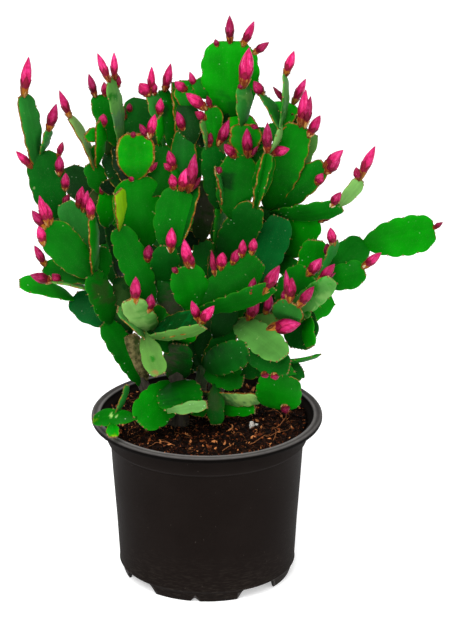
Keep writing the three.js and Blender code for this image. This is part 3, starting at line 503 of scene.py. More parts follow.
# Parts of a segment that differ: tone, x, h of the middle of the patch, and its reach in mm.
# Many patches are painted light and shade: the pale, lit and sage patches are painted sheen and
# light, the small lit spots on A5 and A2 are painted glints, and the deep and shade patches are
# painted shade.
TINTS = {
    "O1": [["fresh", -23, 47.5, 7], ["sage", -28, 58, 9]],
    "O2": [["fresh", -28.5, 32, 1.6], ["brown", -27, 24, 1.6]],
    "O5": [["deep", -16, 50, 10]],
    "C4": [["purple", -18, 31, 9], ["deep", -11.5, 28, 8]],
    "C5": [["purple", -22, 58, 13], ["shade", -27, 66, 7], ["shade", -17, 50, 5]],
    "L6": [["olive", -37, 38, 9], ["olive", -33, 24, 9]],
    "N5": [["olive", -54, 66, 7]],
    "K0": [["olive", -46, 62, 9]],
    "V1": [["deep", 2, 37, 5]],
    "V3": [["lit", 19, 12, 8]],
    "W1": [["olive", 2, 10, 8]],
    "A5": [["shade", -20, 14, 7], ["lit", -10.5, 8, 0.8]],
    "A2": [["lit", -50, 2, 0.9], ["lit", -47, 1.4, 0.8], ["yellow", -60, -1, 2]],
    "A3": [["yellow", -48, -9.5, 2]],
    "X9": [["fresh", 52, 71, 8], ["pale", 62, 62, 4.5]],
    "X2": [["leaf", 48, 67, 9], ["pale", 57, 57, 6]],
    "V6": [["pale", 16, 54, 6]],
    "Q2": [["leaf", -49, 168, 3], ["grey", -47, 155, 5]],
    "P3": [["deep", -24, 160, 5]],
    "T1": [["deep", 10, 124, 5]],
    "F4": [["sage", 21, 168, 4]],
    "E3": [["leaf", 38, 160, 7]],
    "E2": [["fresh", 31, 160, 5]],
    "G5": [["purple", 0, 110, 9]],
    "F3": [["leaf", 14, 161, 9], ["fresh", 21, 172, 8]],
    "T3": [["leaf", 42, 124, 9]],
}
# How strongly a segment's margin is browned. EDGE has a number for each word: above 1 the
# brown line widens, and from 1.2 the margin turns to crust. A segment that isn't named is
# "plain".
BROWNED = {
    "crusted": "L6",
    "thick": "M1 F1 F2",
    "strong": "O5 V3 T3 T4 E4 T2 K5 K8 N6 Y0 P1 K4 L4 R1 P4 R4 S2 G2 M10 X1",
    "none": "X7 V4 V2 A5 W2 N3 J1 H1 H2 H3 N4 N5 N7 M5 K0 K1 K3 X6 D5 D6 D7 T7 C5 C4 V7 V8 V9 "
            "V10 Z1 L1 A2 M6",
    "faint": "F3 O6 V5 W1 A1 M8 X8 M4 M7 X9 X2 V1 V6 O2 G1 T5 N9 S1 Q2 E3 E1 Z3 Z4 M3",
}
EDGE = {"crusted": 2.0, "thick": 1.15, "strong": 1.0, "plain": 0.4, "faint": 0.18, "none": 0.04}
# Segments whose margins are nearly even
SMOOTH = "M1 N3 L5 K4 E3 Q2 T6 A2 M2 V7 S3 O6"
# The colour of the cups on a segment. A segment that isn't named has red ones.
CUPS = {
    "gold": "L4 L5 N1 N8 O1 O5 X7 M5 V6 X0 X1 X2 M8 M7 E3 K4 T5 F3",
    "green": "E2 E4 X4 T6",
}


def normal(v):
    return v / max(np.linalg.norm(v), 1e-9)


def sight_line(x, h):
    """The direction in which the eye sees x and h."""
    through = np.array([x, h * math.sin(SIGHT), SOIL_TOP + h * math.cos(SIGHT)])
    return normal(through - EYE)


def seen(x, h, y):
    """The point at depth y that the eye sees at x and h."""
    line = sight_line(x, h)
    return EYE + line * (y - EYE[1]) / line[1]


def in_view(place):
    """The x and h at which a point shows, as in the rows."""
    lean = np.array([0, -math.cos(SIGHT), math.sin(SIGHT)])
    ray = place - EYE
    middle = np.array([0, 0, SOIL_TOP])
    flat = EYE + ray * ((middle - EYE) @ lean) / (ray @ lean) - middle
    return flat[0], flat @ np.array([0, math.sin(SIGHT), math.cos(SIGHT)])


def ease(x):
    """0 up to 0, 1 from 1, and smooth between."""
    x = np.clip(x, 0, 1)
    return x * x * (3 - 2 * x)


def turns(steps):
    """Angles right round, in radians."""
    return [2 * math.pi * k / steps for k in range(steps)]


def circle(radius, steps):
    return [(radius * math.cos(a), radius * math.sin(a)) for a in turns(steps)]


class Growth:
    """What stems, segments and buds have in common: each grows from a base to a tip."""

    def grow(self, base, tip):
        self.base, self.tip = base, tip
        self.length = np.linalg.norm(tip - base)
        self.axis = normal(tip - base)

    def nearest(self, line):
        """Where the middle comes nearest to a line from the eye, as a part of the length."""
        away = self.base - EYE
        along = line @ self.axis
        return (along * (away @ line) - away @ self.axis) / (1 - along * along) / self.length

    def inside(self, s):
        """A part of the length, kept a little way in from both ends."""
        inset = ROOT_INSET / self.length
        return min(1 - inset, max(inset, s))


class Stem(Growth):
    """A length of woody stem between two points."""

    def __init__(self, row, placed):
        _, parent, x, h, y, self.thickness, *foot = row
        if parent == "soil":
            self.foot_thickness = foot.pop()
            base = np.array([*foot, SOIL_TOP])
        else:
            base = placed[parent].tip
        self.grow(base, seen(x, h, y))

    def root_at(self, x, h):
        """The point on the stem nearest to where the eye sees x and h."""
        s = self.inside(self.nearest(sight_line(x, h)))
        return self.base + self.axis * self.length * s


class Blade(Growth):
    """A flat segment: where it lies, the outline of its margins and its surface."""

    def __init__(self, row, placed):
        self.name, parent, bx, bh, tx, th, ty, self.width, turn, *bow = row
        self.bow = bow[0] if bow else USUAL_BOW
        self.draw = random.Random(self.name)
        self.grow(placed[parent].root_at(bx, bh), seen(tx, th, ty))
        look = normal(self.base - EYE)
        facing = -normal(look - self.axis * (look @ self.axis))
        across = np.cross(facing, self.axis)
        angle = math.radians(turn)
        self.across = across * math.cos(angle) + facing * math.sin(angle)
        self.face = np.cross(self.axis, self.across)
        # What makes each segment its own
        self.widest = self.draw.uniform(0.52, 0.62)
        self.lean = self.draw.uniform(-0.07, 0.07)
        self.cup = self.draw.uniform(-0.05, 0.09)
        self.twist = math.radians(self.draw.uniform(-9, 9))
        self.teeth = max(2, round(self.length / NOTCH_SPACING))
        even = SMOOTH_SHARE if self.name in SMOOTH.split() else 1
        self.notch = self.draw.uniform(0.3, 0.7) * even
        self.offset = self.draw.uniform(0.25, 0.75)
        self.seed = self.draw.random()

    def notches(self, side):
        """Where the areoles stand along one margin, as parts of the length."""
        start = self.offset if side > 0 else (self.offset + 0.5) % 1
        places = [(k + start) / self.teeth for k in range(self.teeth)]
        return [0.1 + 0.84 * s for s in places if 0.04 < s]

    def half_width(self, s, side):
        """Half the width in mm at part s of the length, on side -1 or 1."""
        # Rounded up to the widest place, and squarer down to the end
        rise = np.sin(np.pi / 2 * np.clip(s / self.widest, 0, 1)) ** 0.5
        fall = np.clip((s - self.widest) / (1 - self.widest), 0, 1)
        half = rise * (1 - 0.72 * fall**3.6) ** 0.6 * self.width / 2
        half = half * (1 + self.lean * side)
        # A dip at each notch, and a swell between it and the next one
        gap = 0.8 / self.teeth
        for place in self.notches(side):
            near = (s - place) / (0.22 * gap)
            half = half - self.notch * np.exp(-near * near)
            swell = (s - place - 0.5 * gap) / (0.4 * gap)
            half = half + 0.28 * np.exp(-swell * swell) * ease(s * 6)
        return np.maximum(half, NECK_WIDTH / 2 * (1 - 0.3 * ease((s - 0.9) * 10)))

    def point(self, s, u, n=0.0):
        """The point at part s of the length, u mm across and n mm out from the middle."""
        # The segment twists along its length, bows, and is cupped across
        turn = self.twist * ease(s) * s
        across = self.across * math.cos(turn) + self.face * math.sin(turn)
        face = self.face * math.cos(turn) - self.across * math.sin(turn)
        lift = 4 * s * (1 - s) * self.bow * self.length
        lift += self.cup * u * u * 2 / self.width * ease(4 * s)
        return self.base + self.axis * (s * self.length) + across * u + face * (lift + n)

    def root_at(self, x, h):
        """The point on the segment where the eye sees x and h, or nearest to that."""
        line = sight_line(x, h)
        facing = line @ self.face
        if abs(facing) > EDGE_ON:
            away = self.base - EYE
            p = line * ((away @ self.face) / facing) - away
            s = p @ self.axis / self.length
            u = p @ self.across
        else:
            s, u = self.nearest(line), 0.0
        s = self.inside(s)
        reach = float(self.half_width(s, 1 if u > 0 else -1)) - ROOT_INSET
        return self.point(s, min(reach, max(-reach, u)))


def place_plant():
    """The stems and segments by name, and the rooted stem that each segment belongs to."""
    placed = {}
    stem_of = {}
    for rows in WOOD.values():
        for row in rows:
            placed[row[0]] = Stem(row, placed)
    for stem, rows in BLADES.items():
        for row in rows:
            placed[row[0]] = Blade(row, placed)
            stem_of[row[0]] = stem
    for name, parent, *ends, back, width in INNER:
        y = placed[parent].root_at(*ends[:2])[1] + back
        placed[name] = Blade([name, parent, *ends, y, width, 0], placed)
        stem_of[name] = stem_of[parent]
    return placed, stem_of


PLACED, STEM_OF = place_plant()


def marked(table, name, otherwise):
    """The word of a table that a segment's name stands under."""
    for mark, names in table.items():
        if name in names.split():
            return mark
    return otherwise


class Surface:
    """Gathers points in mm, faces and painted values, and makes one mesh piece of them."""

    def __init__(self):
        self.points = []
        self.faces = []
        self.paint = {}

    def add(self, points, faces, **paint):
        start = len(self.points)
        self.points.extend(points)
        self.faces.extend([tuple(start + i for i in face) for face in faces])
        for name, values in paint.items():
            self.paint.setdefault(name, []).extend(values)

    def rings(self, rings, **paint):
        """Joins rings of points into a closed skin, with a fan on a middle point at each end."""
        count = len(rings[0])
        points = [p for ring in rings for p in ring]
        faces = []
        for r in range(len(rings) - 1):
            for k in range(count):
                a = r * count + k
                b = r * count + (k + 1) % count
                faces.append((a, b, b + count, a + count))
        first, last = len(points), len(points) + 1
        points += [np.mean(rings[0], axis=0), np.mean(rings[-1], axis=0)]
        end = (len(rings) - 1) * count
        for k in range(count):
            nxt = (k + 1) % count
            faces.append((nxt, k, first))
            faces.append((end + k, end + nxt, last))
        self.add(points, faces, **{name: v + [v[0], v[-1]] for name, v in paint.items()})

    def piece(self, name, slot, material, nodes=(), smooth=True):
        """Makes the mesh, and sets which of the frame's nodes it takes the place of."""
        places = (np.array(self.points) - SPREAD) * MM
        mesh = bpy.data.meshes.new(name)
        mesh.from_pydata(places.tolist(), [], self.faces)
        for layer, values in self.paint.items():
            colours = np.column_stack([values, np.ones(len(values))])
            attribute = mesh.attributes.new(layer, "FLOAT_COLOR", "POINT")
            attribute.data.foreach_set("color", colours.ravel())
        mesh.validate()
        mesh.update()
        mesh.polygons.foreach_set("use_smooth", [smooth] * len(mesh.polygons))
        mesh.materials.append(material)
        thing = bpy.data.objects.new(name, mesh)
        bpy.context.scene.collection.objects.link(thing)
        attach(thing, "root")
        if nodes:
            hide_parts(*nodes)
        return thing


class Wire:
    """A shader socket. Sums on it add Math nodes, or Vector Math nodes for colours and places."""

    def __init__(self, finish, socket):
        self.finish = finish
        self.socket = socket

    def _sum(self, operation, *terms):
        wide = any(isinstance(t, Wire) and t.socket.type != "VALUE" for t in terms)
        if not wide:
            return self.finish.add("ShaderNodeMath", {"operation": operation}, list(terms))
        spread = [t if isinstance(t, (Wire, tuple)) else (t, t, t) for t in terms]
        return self.finish.add("ShaderNodeVectorMath", {"operation": operation}, spread)

    def __add__(self, other):
        return self._sum("ADD", self, other)

    def __sub__(self, other):
        return self._sum("SUBTRACT", self, other)

    def __rsub__(self, other):
        return self._sum("SUBTRACT", other, self)

    def __mul__(self, other):
        return self._sum("MULTIPLY", self, other)

    __radd__ = __add__
    __rmul__ = __mul__

    def least(self, other):
        return self._sum("MINIMUM", self, other)

    def step(self, low, high):
        """0 below low, 1 above high, and smooth between."""
        settings = {"interpolation_type": "SMOOTHSTEP"}
        return self.finish.add("ShaderNodeMapRange", settings, [self, low, high, 0.0, 1.0])

    def part(self, index):
        """One channel of a colour."""
        return self.finish.add("ShaderNodeSeparateColor", {}, [self], output=index)


class Finish:
    """A procedural material, made by expressions on its sockets."""

    def __init__(self, name):
        self.material = bpy.data.materials.new(name)
        self.material.use_nodes = True
        self.tree = self.material.node_tree
        self.shader = self.tree.nodes["Principled BSDF"]

    def add(self, kind, settings, inputs, output=0):
        node = self.tree.nodes.new(kind)
        for name, value in settings.items():
            setattr(node, name, value)
        pairs = inputs.items() if isinstance(inputs, dict) else enumerate(inputs)
        for key, value in pairs:
            self.feed(node.inputs[key], value)
        return Wire(self, node.outputs[output])

    def feed(self, socket, value):
        if isinstance(value, Wire):
            self.tree.links.new(value.socket, socket)
        elif socket.type == "RGBA" and len(value) == 3:
            socket.default_value = (*value, 1.0)
        else:
            socket.default_value = value

    def paint(self, name):
        """The values that a Surface was given under a name."""
        return self.add("ShaderNodeAttribute", {"attribute_name": name}, [])

    def places(self):
        """Where a point lies, in the piece's own metres."""
        return self.add("ShaderNodeTexCoord", {}, [], output=3)

    def noise(self, vector, scale, detail, roughness=0.55):
        inputs = {"Vector": vector, "Scale": scale, "Detail": detail, "Roughness": roughness}
        return self.add("ShaderNodeTexNoise", {}, inputs)

    def cells(self, vector, scale):
        return self.add("ShaderNodeTexVoronoi", {}, {"Vector": vector, "Scale": scale})

    def mix(self, share, first, second):
        settings = {"data_type": "RGBA"}
        return self.add("ShaderNodeMix", settings, {0: share, 6: first, 7: second}, output=2)

    def bump(self, height, depth, strength):
        inputs = {"Strength": strength, "Distance": depth, "Height": height}
        return self.add("ShaderNodeBump", {}, inputs)

    def done(self, colour, roughness, gloss=0.5, relief=None, glow=0.0):
        """Feeds the shader's sockets, and gives the material."""
        sockets = {"Base Color": colour, "Roughness": roughness, "Specular IOR Level": gloss,
                   "Emission Strength": glow}
        if relief:
            sockets["Normal"] = relief
        for name, value in sockets.items():
            self.feed(self.shader.inputs[name], value)
        return self.material


# Settings

COLOUR = {"subtype": "COLOR", "size": 3, "min": 0.0, "max": 1.0}


def colour_property(name, description, default):
    return bpy.props.FloatVectorProperty(
        name=name, description=description, default=default, **COLOUR
    )


def number_property(name, description, default, low, **more):
    return bpy.props.FloatProperty(
        name=name, description=description, default=default, min=low, **more
    )


def count_property(name, description, default, low, **more):
    return bpy.props.IntProperty(
        name=name, description=description, default=default, min=low, **more
    )


class SegmentSettings(bpy.types.PropertyGroup):
    thickness: number_property("Thickness", "A segment's thickness in mm", 2.1, 0.8, max=4.0)
    # These greens are partly the segments' own colours and partly painted light and shade: the
    # bright green is painted full light; the shade, deep, bluish and darkest greens are painted
    # shade low and deep in the plant; the pale, lit and sage greens are painted light and sheen on
    # undersides.
    bright: colour_property("Bright green", "Young segments in full light", (0.001, 0.21, 0.001))
    fresh: colour_property("Fresh green", "Full grown segments", (0.001, 0.14, 0.0015))
    leaf: colour_property("Leaf green", "Most segments", (0.001, 0.10, 0.002))
    shade: colour_property("Shade green", "Older segments low in the plant", (0.001, 0.065, 0.003))
    deep: colour_property("Deep green", "The oldest segments", (0.002, 0.032, 0.003))
    blue: colour_property("Bluish green", "Segments that stand in the shade", (0.001, 0.08, 0.011))
    pale: colour_property("Pale green", "Thin undersides in the light", (0.13, 0.30, 0.07))
    lit: colour_property("Lit green", "Undersides that face down", (0.34, 0.60, 0.15))
    sage: colour_property("Sage green", "Dull undersides", (0.065, 0.21, 0.035))
    dusty: colour_property("Dusty green", "Segments with a grey bloom", (0.014, 0.14, 0.016))
    yellow: colour_property("Yellow green", "A sunburnt segment", (0.17, 0.35, 0.003))
    darkest: colour_property("Darkest green", "Segments deep in the plant", (0.002, 0.014, 0.003))
    cork: colour_property("Corky", "Old segments turning to wood", (0.016, 0.040, 0.008))
    purple: colour_property("Purple brown", "Patches of old skin", (0.040, 0.038, 0.024))
    olive: colour_property("Olive", "Old green patches", (0.018, 0.055, 0.008))
    brown: colour_property("Brown", "Dried tips", (0.22, 0.13, 0.04))
    grey: colour_property("Grey green", "A sheen of wax", (0.05, 0.14, 0.05))
    margin: colour_property("Margin", "The dry brown line of the margins", (0.23, 0.075, 0.012))


class BudSettings(bpy.types.PropertyGroup):
    petal: colour_property("Petal", "The silky pink of the buds", (0.44, 0.004, 0.075))
    young: colour_property("Young petal", "Small buds and outer scales", (0.15, 0.003, 0.020))
    cup_red: colour_property("Red cup", "The cup below a bud", (0.13, 0.022, 0.003))
    cup_gold: colour_property("Gold cup", "A cup in full light", (0.30, 0.115, 0.006))
    cup_green: colour_property("Green cup", "A young cup", (0.13, 0.115, 0.006))


class WoodSettings(bpy.types.PropertyGroup):
    bark: colour_property("Bark", "Old woody stem", (0.050, 0.043, 0.034))
    green: colour_property("Green bark", "Stem that is still green", (0.016, 0.045, 0.012))
    felt: colour_property("Areole felt", "The felt of the areoles", (0.12, 0.058, 0.014))


class PotSettings(bpy.types.PropertyGroup):
    plastic: colour_property("Plastic", "The pot's brown black", (0.0066, 0.0044, 0.0036))
    # The rim's grey is partly wear and partly a painted highlight along its edges
    worn: colour_property("Worn rim", "The rim, greyed by handling", (0.17, 0.16, 0.155))
    steps: count_property("Roundness", "Sides of the pot", 192, 24, max=360)


class SoilSettings(bpy.types.PropertyGroup):
    dark: colour_property("Dark soil", "Moist peat", (0.0045, 0.0018, 0.0012))
    brown: colour_property("Brown soil", "Coir crumbs", (0.022, 0.0065, 0.003))
    fibre: colour_property("Fibre", "Coir fibres", (0.24, 0.085, 0.028))
    crumbs: count_property("Crumbs", "How many loose crumbs lie on top", 6500, 0)
    fibres: count_property("Fibres", "How many coir fibres lie on top", 130, 0)


class StudioSettings(bpy.types.PropertyGroup):
    floor: colour_property("Floor", "The pale floor", (0.86, 0.86, 0.86))
    glow: number_property("Glow", "How much light the floor gives by itself", 0.45, 0.0)
    key: number_property("Key light", "Main lamp above and in front", 17.0, 0.0, unit="POWER")
    fill: number_property("Fill light", "The other lamps, by their shares", 6.0, 0.0, unit="POWER")
    sky: number_property("Surround", "Strength of the pale surround", 0.33, 0.0)


# Finishes


def segment_finish(looks):
    """Waxy green skin. form: nearness to the margin, part of the length, and browning."""
    f = Finish("waxy segment")
    form = f.paint("form")
    margin, along = form.part(0), form.part(1)
    browned, crusted = form.part(2).least(1.0), form.part(2).step(1.2, 1.8)
    place = f.paint("place")
    places = f.places()
    base = f.paint("tone")
    mottle = f.noise(places, 95, 4)
    streak = f.noise(place * (9, 1.1, 6), 1.0, 3)
    grain = f.noise(places, 900, 2)
    broad = f.noise(places, 34, 2)
    light = mottle * 0.7 + broad * 1.1 + streak * 0.2 + grain * 0.12 - 0.06
    skin = base * light
    # Paler towards the margin, and darker towards the base: a painted shade on the lower half of
    # each segment
    skin = f.mix(margin.step(0.25, 1.0) * 0.16, skin, base * 1.25 + (0.012, 0.02, 0.002))
    skin = f.mix((1.0 - along.step(0.0, 0.55)) * 0.62, skin, base * 0.36)
    # Dust and pores
    pores = 1.0 - f.cells(places, 1500).step(0.08, 0.22)
    skin = f.mix(pores * 0.10, skin, (0.30, 0.45, 0.22))
    marks = f.noise(places, 420, 1).step(0.73, 0.78) * mottle.step(0.5, 0.62)
    skin = f.mix(marks * 0.35, skin, (0.32, 0.38, 0.16))
    dust = (1.0 - f.cells(places, 300).step(0.06, 0.12)) * f.noise(places, 55, 2).step(0.5, 0.62)
    skin = f.mix(dust * 0.55, skin, (0.40, 0.58, 0.36))
    # The dry margin, broken along its length
    ragged = f.noise(places, 330, 4)
    skin = f.mix(margin.step(0.80, 0.96) * 0.35, skin, base * 1.3 + (0.02, 0.05, 0.004))
    spots = f.noise(places, 640, 3)
    reach = margin + (browned - 0.5) * 0.24 + (spots - 0.5) * 0.3
    reach = reach + form.part(2).step(1.02, 1.12) * 0.38
    line = reach.step(0.78, 0.95) * (browned * 1.6 + ragged * 1.5 - 1.2).step(0.0, 0.35)
    rust = f.mix(spots.step(0.42, 0.60), (0.10, 0.028, 0.005), looks.margin)
    rust = f.mix(ragged.step(0.52, 0.66), rust, (0.40, 0.23, 0.05))
    skin = f.mix(line, skin, rust)
    edge = reach.step(0.45, 0.85) * browned * ragged.step(0.35, 0.7) * 0.4
    skin = f.mix(edge, skin, (0.12, 0.10, 0.006))
    crust = f.mix(ragged.step(0.35, 0.65), (0.05, 0.045, 0.016), (0.23, 0.19, 0.08))
    skin = f.mix(crusted * (margin + mottle).step(0.3, 0.62), skin, crust)
    rough = 0.36 + mottle * 0.16 + line * 0.3
    relief = streak * 0.25 + mottle * 0.5 + grain * 0.10 + crusted * ragged * 4.0
    return f.done(skin, rough, 0.03, f.bump(relief, 0.0006, 0.35))


def petal_finish(looks):
    """Silky petals. form: part of the bud's length, part across a petal, and youth."""
    f = Finish("bud petal")
    form = f.paint("form")
    along, across, youth = form.part(0), form.part(1), form.part(2)
    places = f.places()
    veins = f.noise(f.paint("place") * (14, 1.6, 8), 1.0, 3)
    cloud = f.noise(places, 420, 3)
    pink = f.mix(veins.step(0.35, 0.7), looks.petal, (0.60, 0.012, 0.13))
    pink = f.mix(along.step(0.35, 0.8) * cloud.step(0.4, 0.65) * 0.6, pink, (0.80, 0.050, 0.27))
    pink = f.mix((1.0 - along.step(0.22, 0.60)) * 0.88, pink, (0.15, 0.003, 0.006))
    pink = f.mix(along.step(0.86, 1.0) * 0.5, pink, (0.36, 0.006, 0.09))
    # Darker at the seams where one petal laps over the next: painted shade in the folds
    pink = f.mix((1.0 - across.step(0.0, 0.28)) * 0.75, pink, (0.13, 0.001, 0.018))
    young = f.mix(cloud.step(0.4, 0.6), looks.young, (0.26, 0.006, 0.045))
    pink = f.mix(youth, pink, young)
    glint = veins.step(0.60, 0.72) * along.step(0.4, 0.6) * across.step(0.2, 0.6) * 0.7
    pink = f.mix(glint, pink, (0.92, 0.36, 0.56))
    return f.done(pink * f.paint("tone"), 0.30 + cloud * 0.14, 0.10, f.bump(veins, 0.0003, 0.5))


def cup_finish():
    """A bud's ribbed cup, with dry flecks. form: part of the bud's length."""
    f = Finish("bud cup")
    form = f.paint("form")
    places = f.places()
    cloud = f.noise(places, 480, 4)
    ribs = f.noise(f.paint("place") * (16, 1.2, 5), 1.0, 2)
    skin = f.paint("tone") * (0.35 + cloud * 0.9 + ribs * 0.5)
    skin = f.mix(form.part(0).step(0.12, 0.30) * 0.6, skin, (0.19, 0.012, 0.008))
    skin = f.mix(cloud.step(0.52, 0.66) * 0.4, skin, (0.16, 0.010, 0.006))
    skin = f.mix(ribs.step(0.55, 0.68) * 0.65, skin, (0.42, 0.20, 0.035))
    skin = f.mix((1.0 - form.part(0).step(0.0, 0.12)) * 0.5, skin, (0.04, 0.015, 0.005))
    return f.done(skin, 0.42 + cloud * 0.2, 0.10, f.bump(ribs + cloud * 0.5, 0.0004, 0.8))


def felt_finish(looks):
    f = Finish("areole felt")
    cloud = f.noise(f.places(), 1500, 3)
    skin = f.mix(cloud.step(0.4, 0.65), looks.felt, (0.38, 0.28, 0.11))
    return f.done(skin * f.paint("tone"), 0.8, 0.1, f.bump(cloud, 0.0003, 1.0))


def bark_finish(looks):
    """Cracked bark. form: how green it still is."""
    f = Finish("woody stem")
    places = f.places()
    place = f.paint("place")
    cloud = f.noise(places, 150, 5)
    cracks = f.noise(place * (7, 1.4, 3), 1.0, 5, 0.65)
    flakes = f.cells(places, 520)
    green = f.paint("form").part(0)
    skin = f.mix(green, looks.bark, looks.green) * (0.35 + cloud * 1.3)
    skin = f.mix(cracks.step(0.48, 0.66) * 0.6, skin, (0.09, 0.08, 0.045))
    # Near black deep in the cracks: painted shade in the crevices
    skin = f.mix((1.0 - cracks.step(0.3, 0.42)) * 0.75, skin, (0.005, 0.005, 0.003))
    return f.done(skin, 0.72 + cloud * 0.2, 0.1, f.bump(cracks + flakes * 0.35, 0.0012, 0.8))


def soil_finish(looks):
    """Moist soil under the crumbs."""
    f = Finish("potting soil")
    places = f.places()
    lumps = f.noise(places, 260, 6, 0.7)
    grit = f.cells(places, 700)
    fleck = f.noise(places, 620, 3)
    skin = f.mix(lumps.step(0.38, 0.66), looks.dark, looks.brown)
    skin = f.mix(fleck.step(0.60, 0.70) * 0.8, skin, (0.20, 0.065, 0.022))
    skin = f.mix(fleck.step(0.70, 0.76) * 0.7, skin, (0.45, 0.27, 0.13))
    # Near black in the hollows between the lumps: painted shade on the moist soil
    skin = f.mix((1.0 - lumps.step(0.30, 0.45)) * 0.9, skin, (0.0015, 0.0008, 0.0006))
    return f.done(skin, 0.75 + lumps * 0.2, 0.06, f.bump(lumps * 1.4 + grit * 0.5, 0.0016, 0.9))


def crumb_finish(name, moist):
    f = Finish(name)
    places = f.places()
    grain = f.noise(places, 1400, 4)
    skin = f.paint("tone") * (0.4 + grain * 1.2)
    return f.done(skin, moist + grain * 0.3, 0.08, f.bump(grain, 0.0005, 0.7))


def grain_finish():
    f = Finish("white grain")
    grain = f.noise(f.places(), 1800, 4)
    skin = f.mix(grain.step(0.35, 0.6), (0.42, 0.38, 0.32), (0.80, 0.78, 0.73))
    return f.done(skin, 0.85, relief=f.bump(grain, 0.0006, 0.8))


def plastic_finish(looks):
    """Matte moulded plastic. form: how worn and greyed it is, partly a painted highlight on the
    rim, how dusty, and how much painted shade it has.
    """
    f = Finish("pot plastic")
    places = f.places()
    form = f.paint("form")
    worn, dusty = form.part(0), form.part(1)
    cloud = f.noise(places, 42, 4)
    grain = f.noise(places, 2600, 2)
    scuffs = f.noise(places * (1.0, 1.0, 7.0), 260, 3)
    skin = looks.plastic
    skin = f.mix(cloud.step(0.35, 0.7) * 0.6, skin, (0.0090, 0.0064, 0.0054))
    # The rim's grey: partly wear, partly a painted highlight along its edges
    skin = f.mix(worn * (0.55 + scuffs * 0.7), skin, looks.worn)
    skin = f.mix(dusty * scuffs.step(0.45, 0.7) * 0.35, skin, (0.09, 0.075, 0.06))
    specks = f.noise(places, 700, 1).step(0.76, 0.80) * 0.35
    skin = f.mix(specks, skin, (0.08, 0.065, 0.055))
    # Painted shade on the outer face of the rim, under its roll
    skin = f.mix(form.part(2) * 0.85, skin, (0.0006, 0.0004, 0.0003))
    rough = 0.46 + cloud * 0.14 + scuffs * 0.12 - worn * 0.12
    return f.done(skin, rough, 0.025, f.bump(grain * 0.5 + scuffs * 0.4, 0.00025, 0.5))


def floor_finish(looks):
    f = Finish("studio floor")
    cloud = f.noise(f.places(), 3, 3)
    skin = f.mix(cloud * 0.06, looks.floor, (0.80, 0.80, 0.80))
    return f.done(skin, 0.7, 0.1, glow=looks.glow)


# Pieces

# Where points lie round a segment's section: part of the half width, and of the thickness
# there. The skin runs along the upper side, and back along the lower one.
SECTION = [(-1.0, 0.0), (-0.985, 0.22), (-0.94, 0.36), (-0.84, 0.50), (-0.62, 0.72),
           (-0.30, 0.92), (-0.07, 1.03), (0.0, 1.0), (0.07, 1.03), (0.30, 0.92),
           (0.62, 0.72), (0.84, 0.50), (0.94, 0.36), (0.985, 0.22)]
# How light the green is from a segment's midrib to its margin: a lighter midrib, and a painted
# shading across the rounded section, darker beside the midrib and lighter towards the margin
ACROSS_SHADING = [(0.0, 0.07, 0.3, 0.62, 0.84, 1.0), (1.0, 0.95, 0.9, 1.0, 1.08, 1.12)]


def section_points():
    return SECTION + [(1.0, 0.0)] + [(u, -t) for u, t in reversed(SECTION[1:])]


def grain_place(across, along, seed):
    """Where a point lies in the grain of its own part: along its length in cm, and across."""
    return across, along * 0.1, seed * 9


def add_blade(surface, blade, looks):
    browned = EDGE[marked(BROWNED, blade.name, "plain")]
    stations = max(BLADE_STATIONS, round(blade.length))
    section = section_points()
    rings, forms, places = [], [], []
    for i in range(stations + 1):
        s = i / stations
        left = float(blade.half_width(s, -1))
        right = float(blade.half_width(s, 1))
        thick = looks.thickness * (0.62 + 0.38 * float(ease(s * 5)))
        thick *= 1 - 0.45 * float(ease((s - 0.9) * 10))
        ripple = 0.25 * math.sin(2 * math.pi * (s * blade.teeth + blade.seed))
        start = -BLADE_SINK / blade.length if i == 0 else s
        ring = []
        for u, t in section:
            half = left if u < 0 else right
            out = t * thick / 2 + ripple * u * u * u * float(ease(s * 4))
            ring.append(blade.point(start, u * half, out))
            near = 1 - min(1.0, (1 - abs(u)) * half / MARGIN_REACH)
            near = max(near, 1 - min(1.0, (1 - s) * blade.length / END_REACH))
            forms.append((near, s, browned))
            side = 0.5 if t < 0 else 0.0
            places.append(grain_place(u * half * 0.1 + side, s * blade.length, blade.seed))
        rings.append(ring)
    tones = blade_tones(blade, [p for ring in rings for p in ring], looks)
    surface.rings(rings, form=forms, place=places, tone=tones)


def blade_tones(blade, points, looks):
    """The green at each point of a segment, with its painted shading across and its patches."""
    cross = np.interp(np.abs([u for u, _ in section_points()]), *ACROSS_SHADING)
    tones = np.outer(np.tile(cross, len(points) // len(cross)), blade_tone(blade, looks))
    patches = TINTS.get(blade.name, [])
    if patches:
        spots = np.array([in_view(p) for p in points])
        ragged = np.array([noise.fractal(Vector(p * 0.3), 0.7, 2.2, 4) for p in points])
    for mark, x, h, reach in patches:
        away = np.hypot(spots[:, 0] - x, spots[:, 1] - h) / reach + 0.9 * ragged
        share = 0.85 * (1 - ease(away * 1.4 - 0.6))[:, None]
        tones = tones * (1 - share) + np.array(getattr(looks, mark)) * share
    return [tuple(t) for t in tones]


def blade_tone(blade, looks):
    """A segment's green, partly its own and partly painted light and shade, a little lighter or
    warmer than its neighbours'.
    """
    mark = marked(TONES, blade.name, "leaf")
    colour = np.array(getattr(looks, mark))
    shift = 1 + 0.14 * (blade.draw.random() - 0.5)
    warm = 1 + 0.5 * (blade.draw.random() - 0.5)
    return (colour[0] * shift * warm, colour[1] * shift, colour[2] * shift)


def blades_of(stem):
    return [PLACED[name] for name in STEM_OF if STEM_OF[name] == stem]


def around(axis):
    """Two directions square to an axis and to each other."""
    helper = np.array([1.0, 0, 0]) if abs(axis[2]) > 0.9 else np.array([0, 0, 1.0])
    across = normal(np.cross(helper, axis))
    return across, np.cross(axis, across)


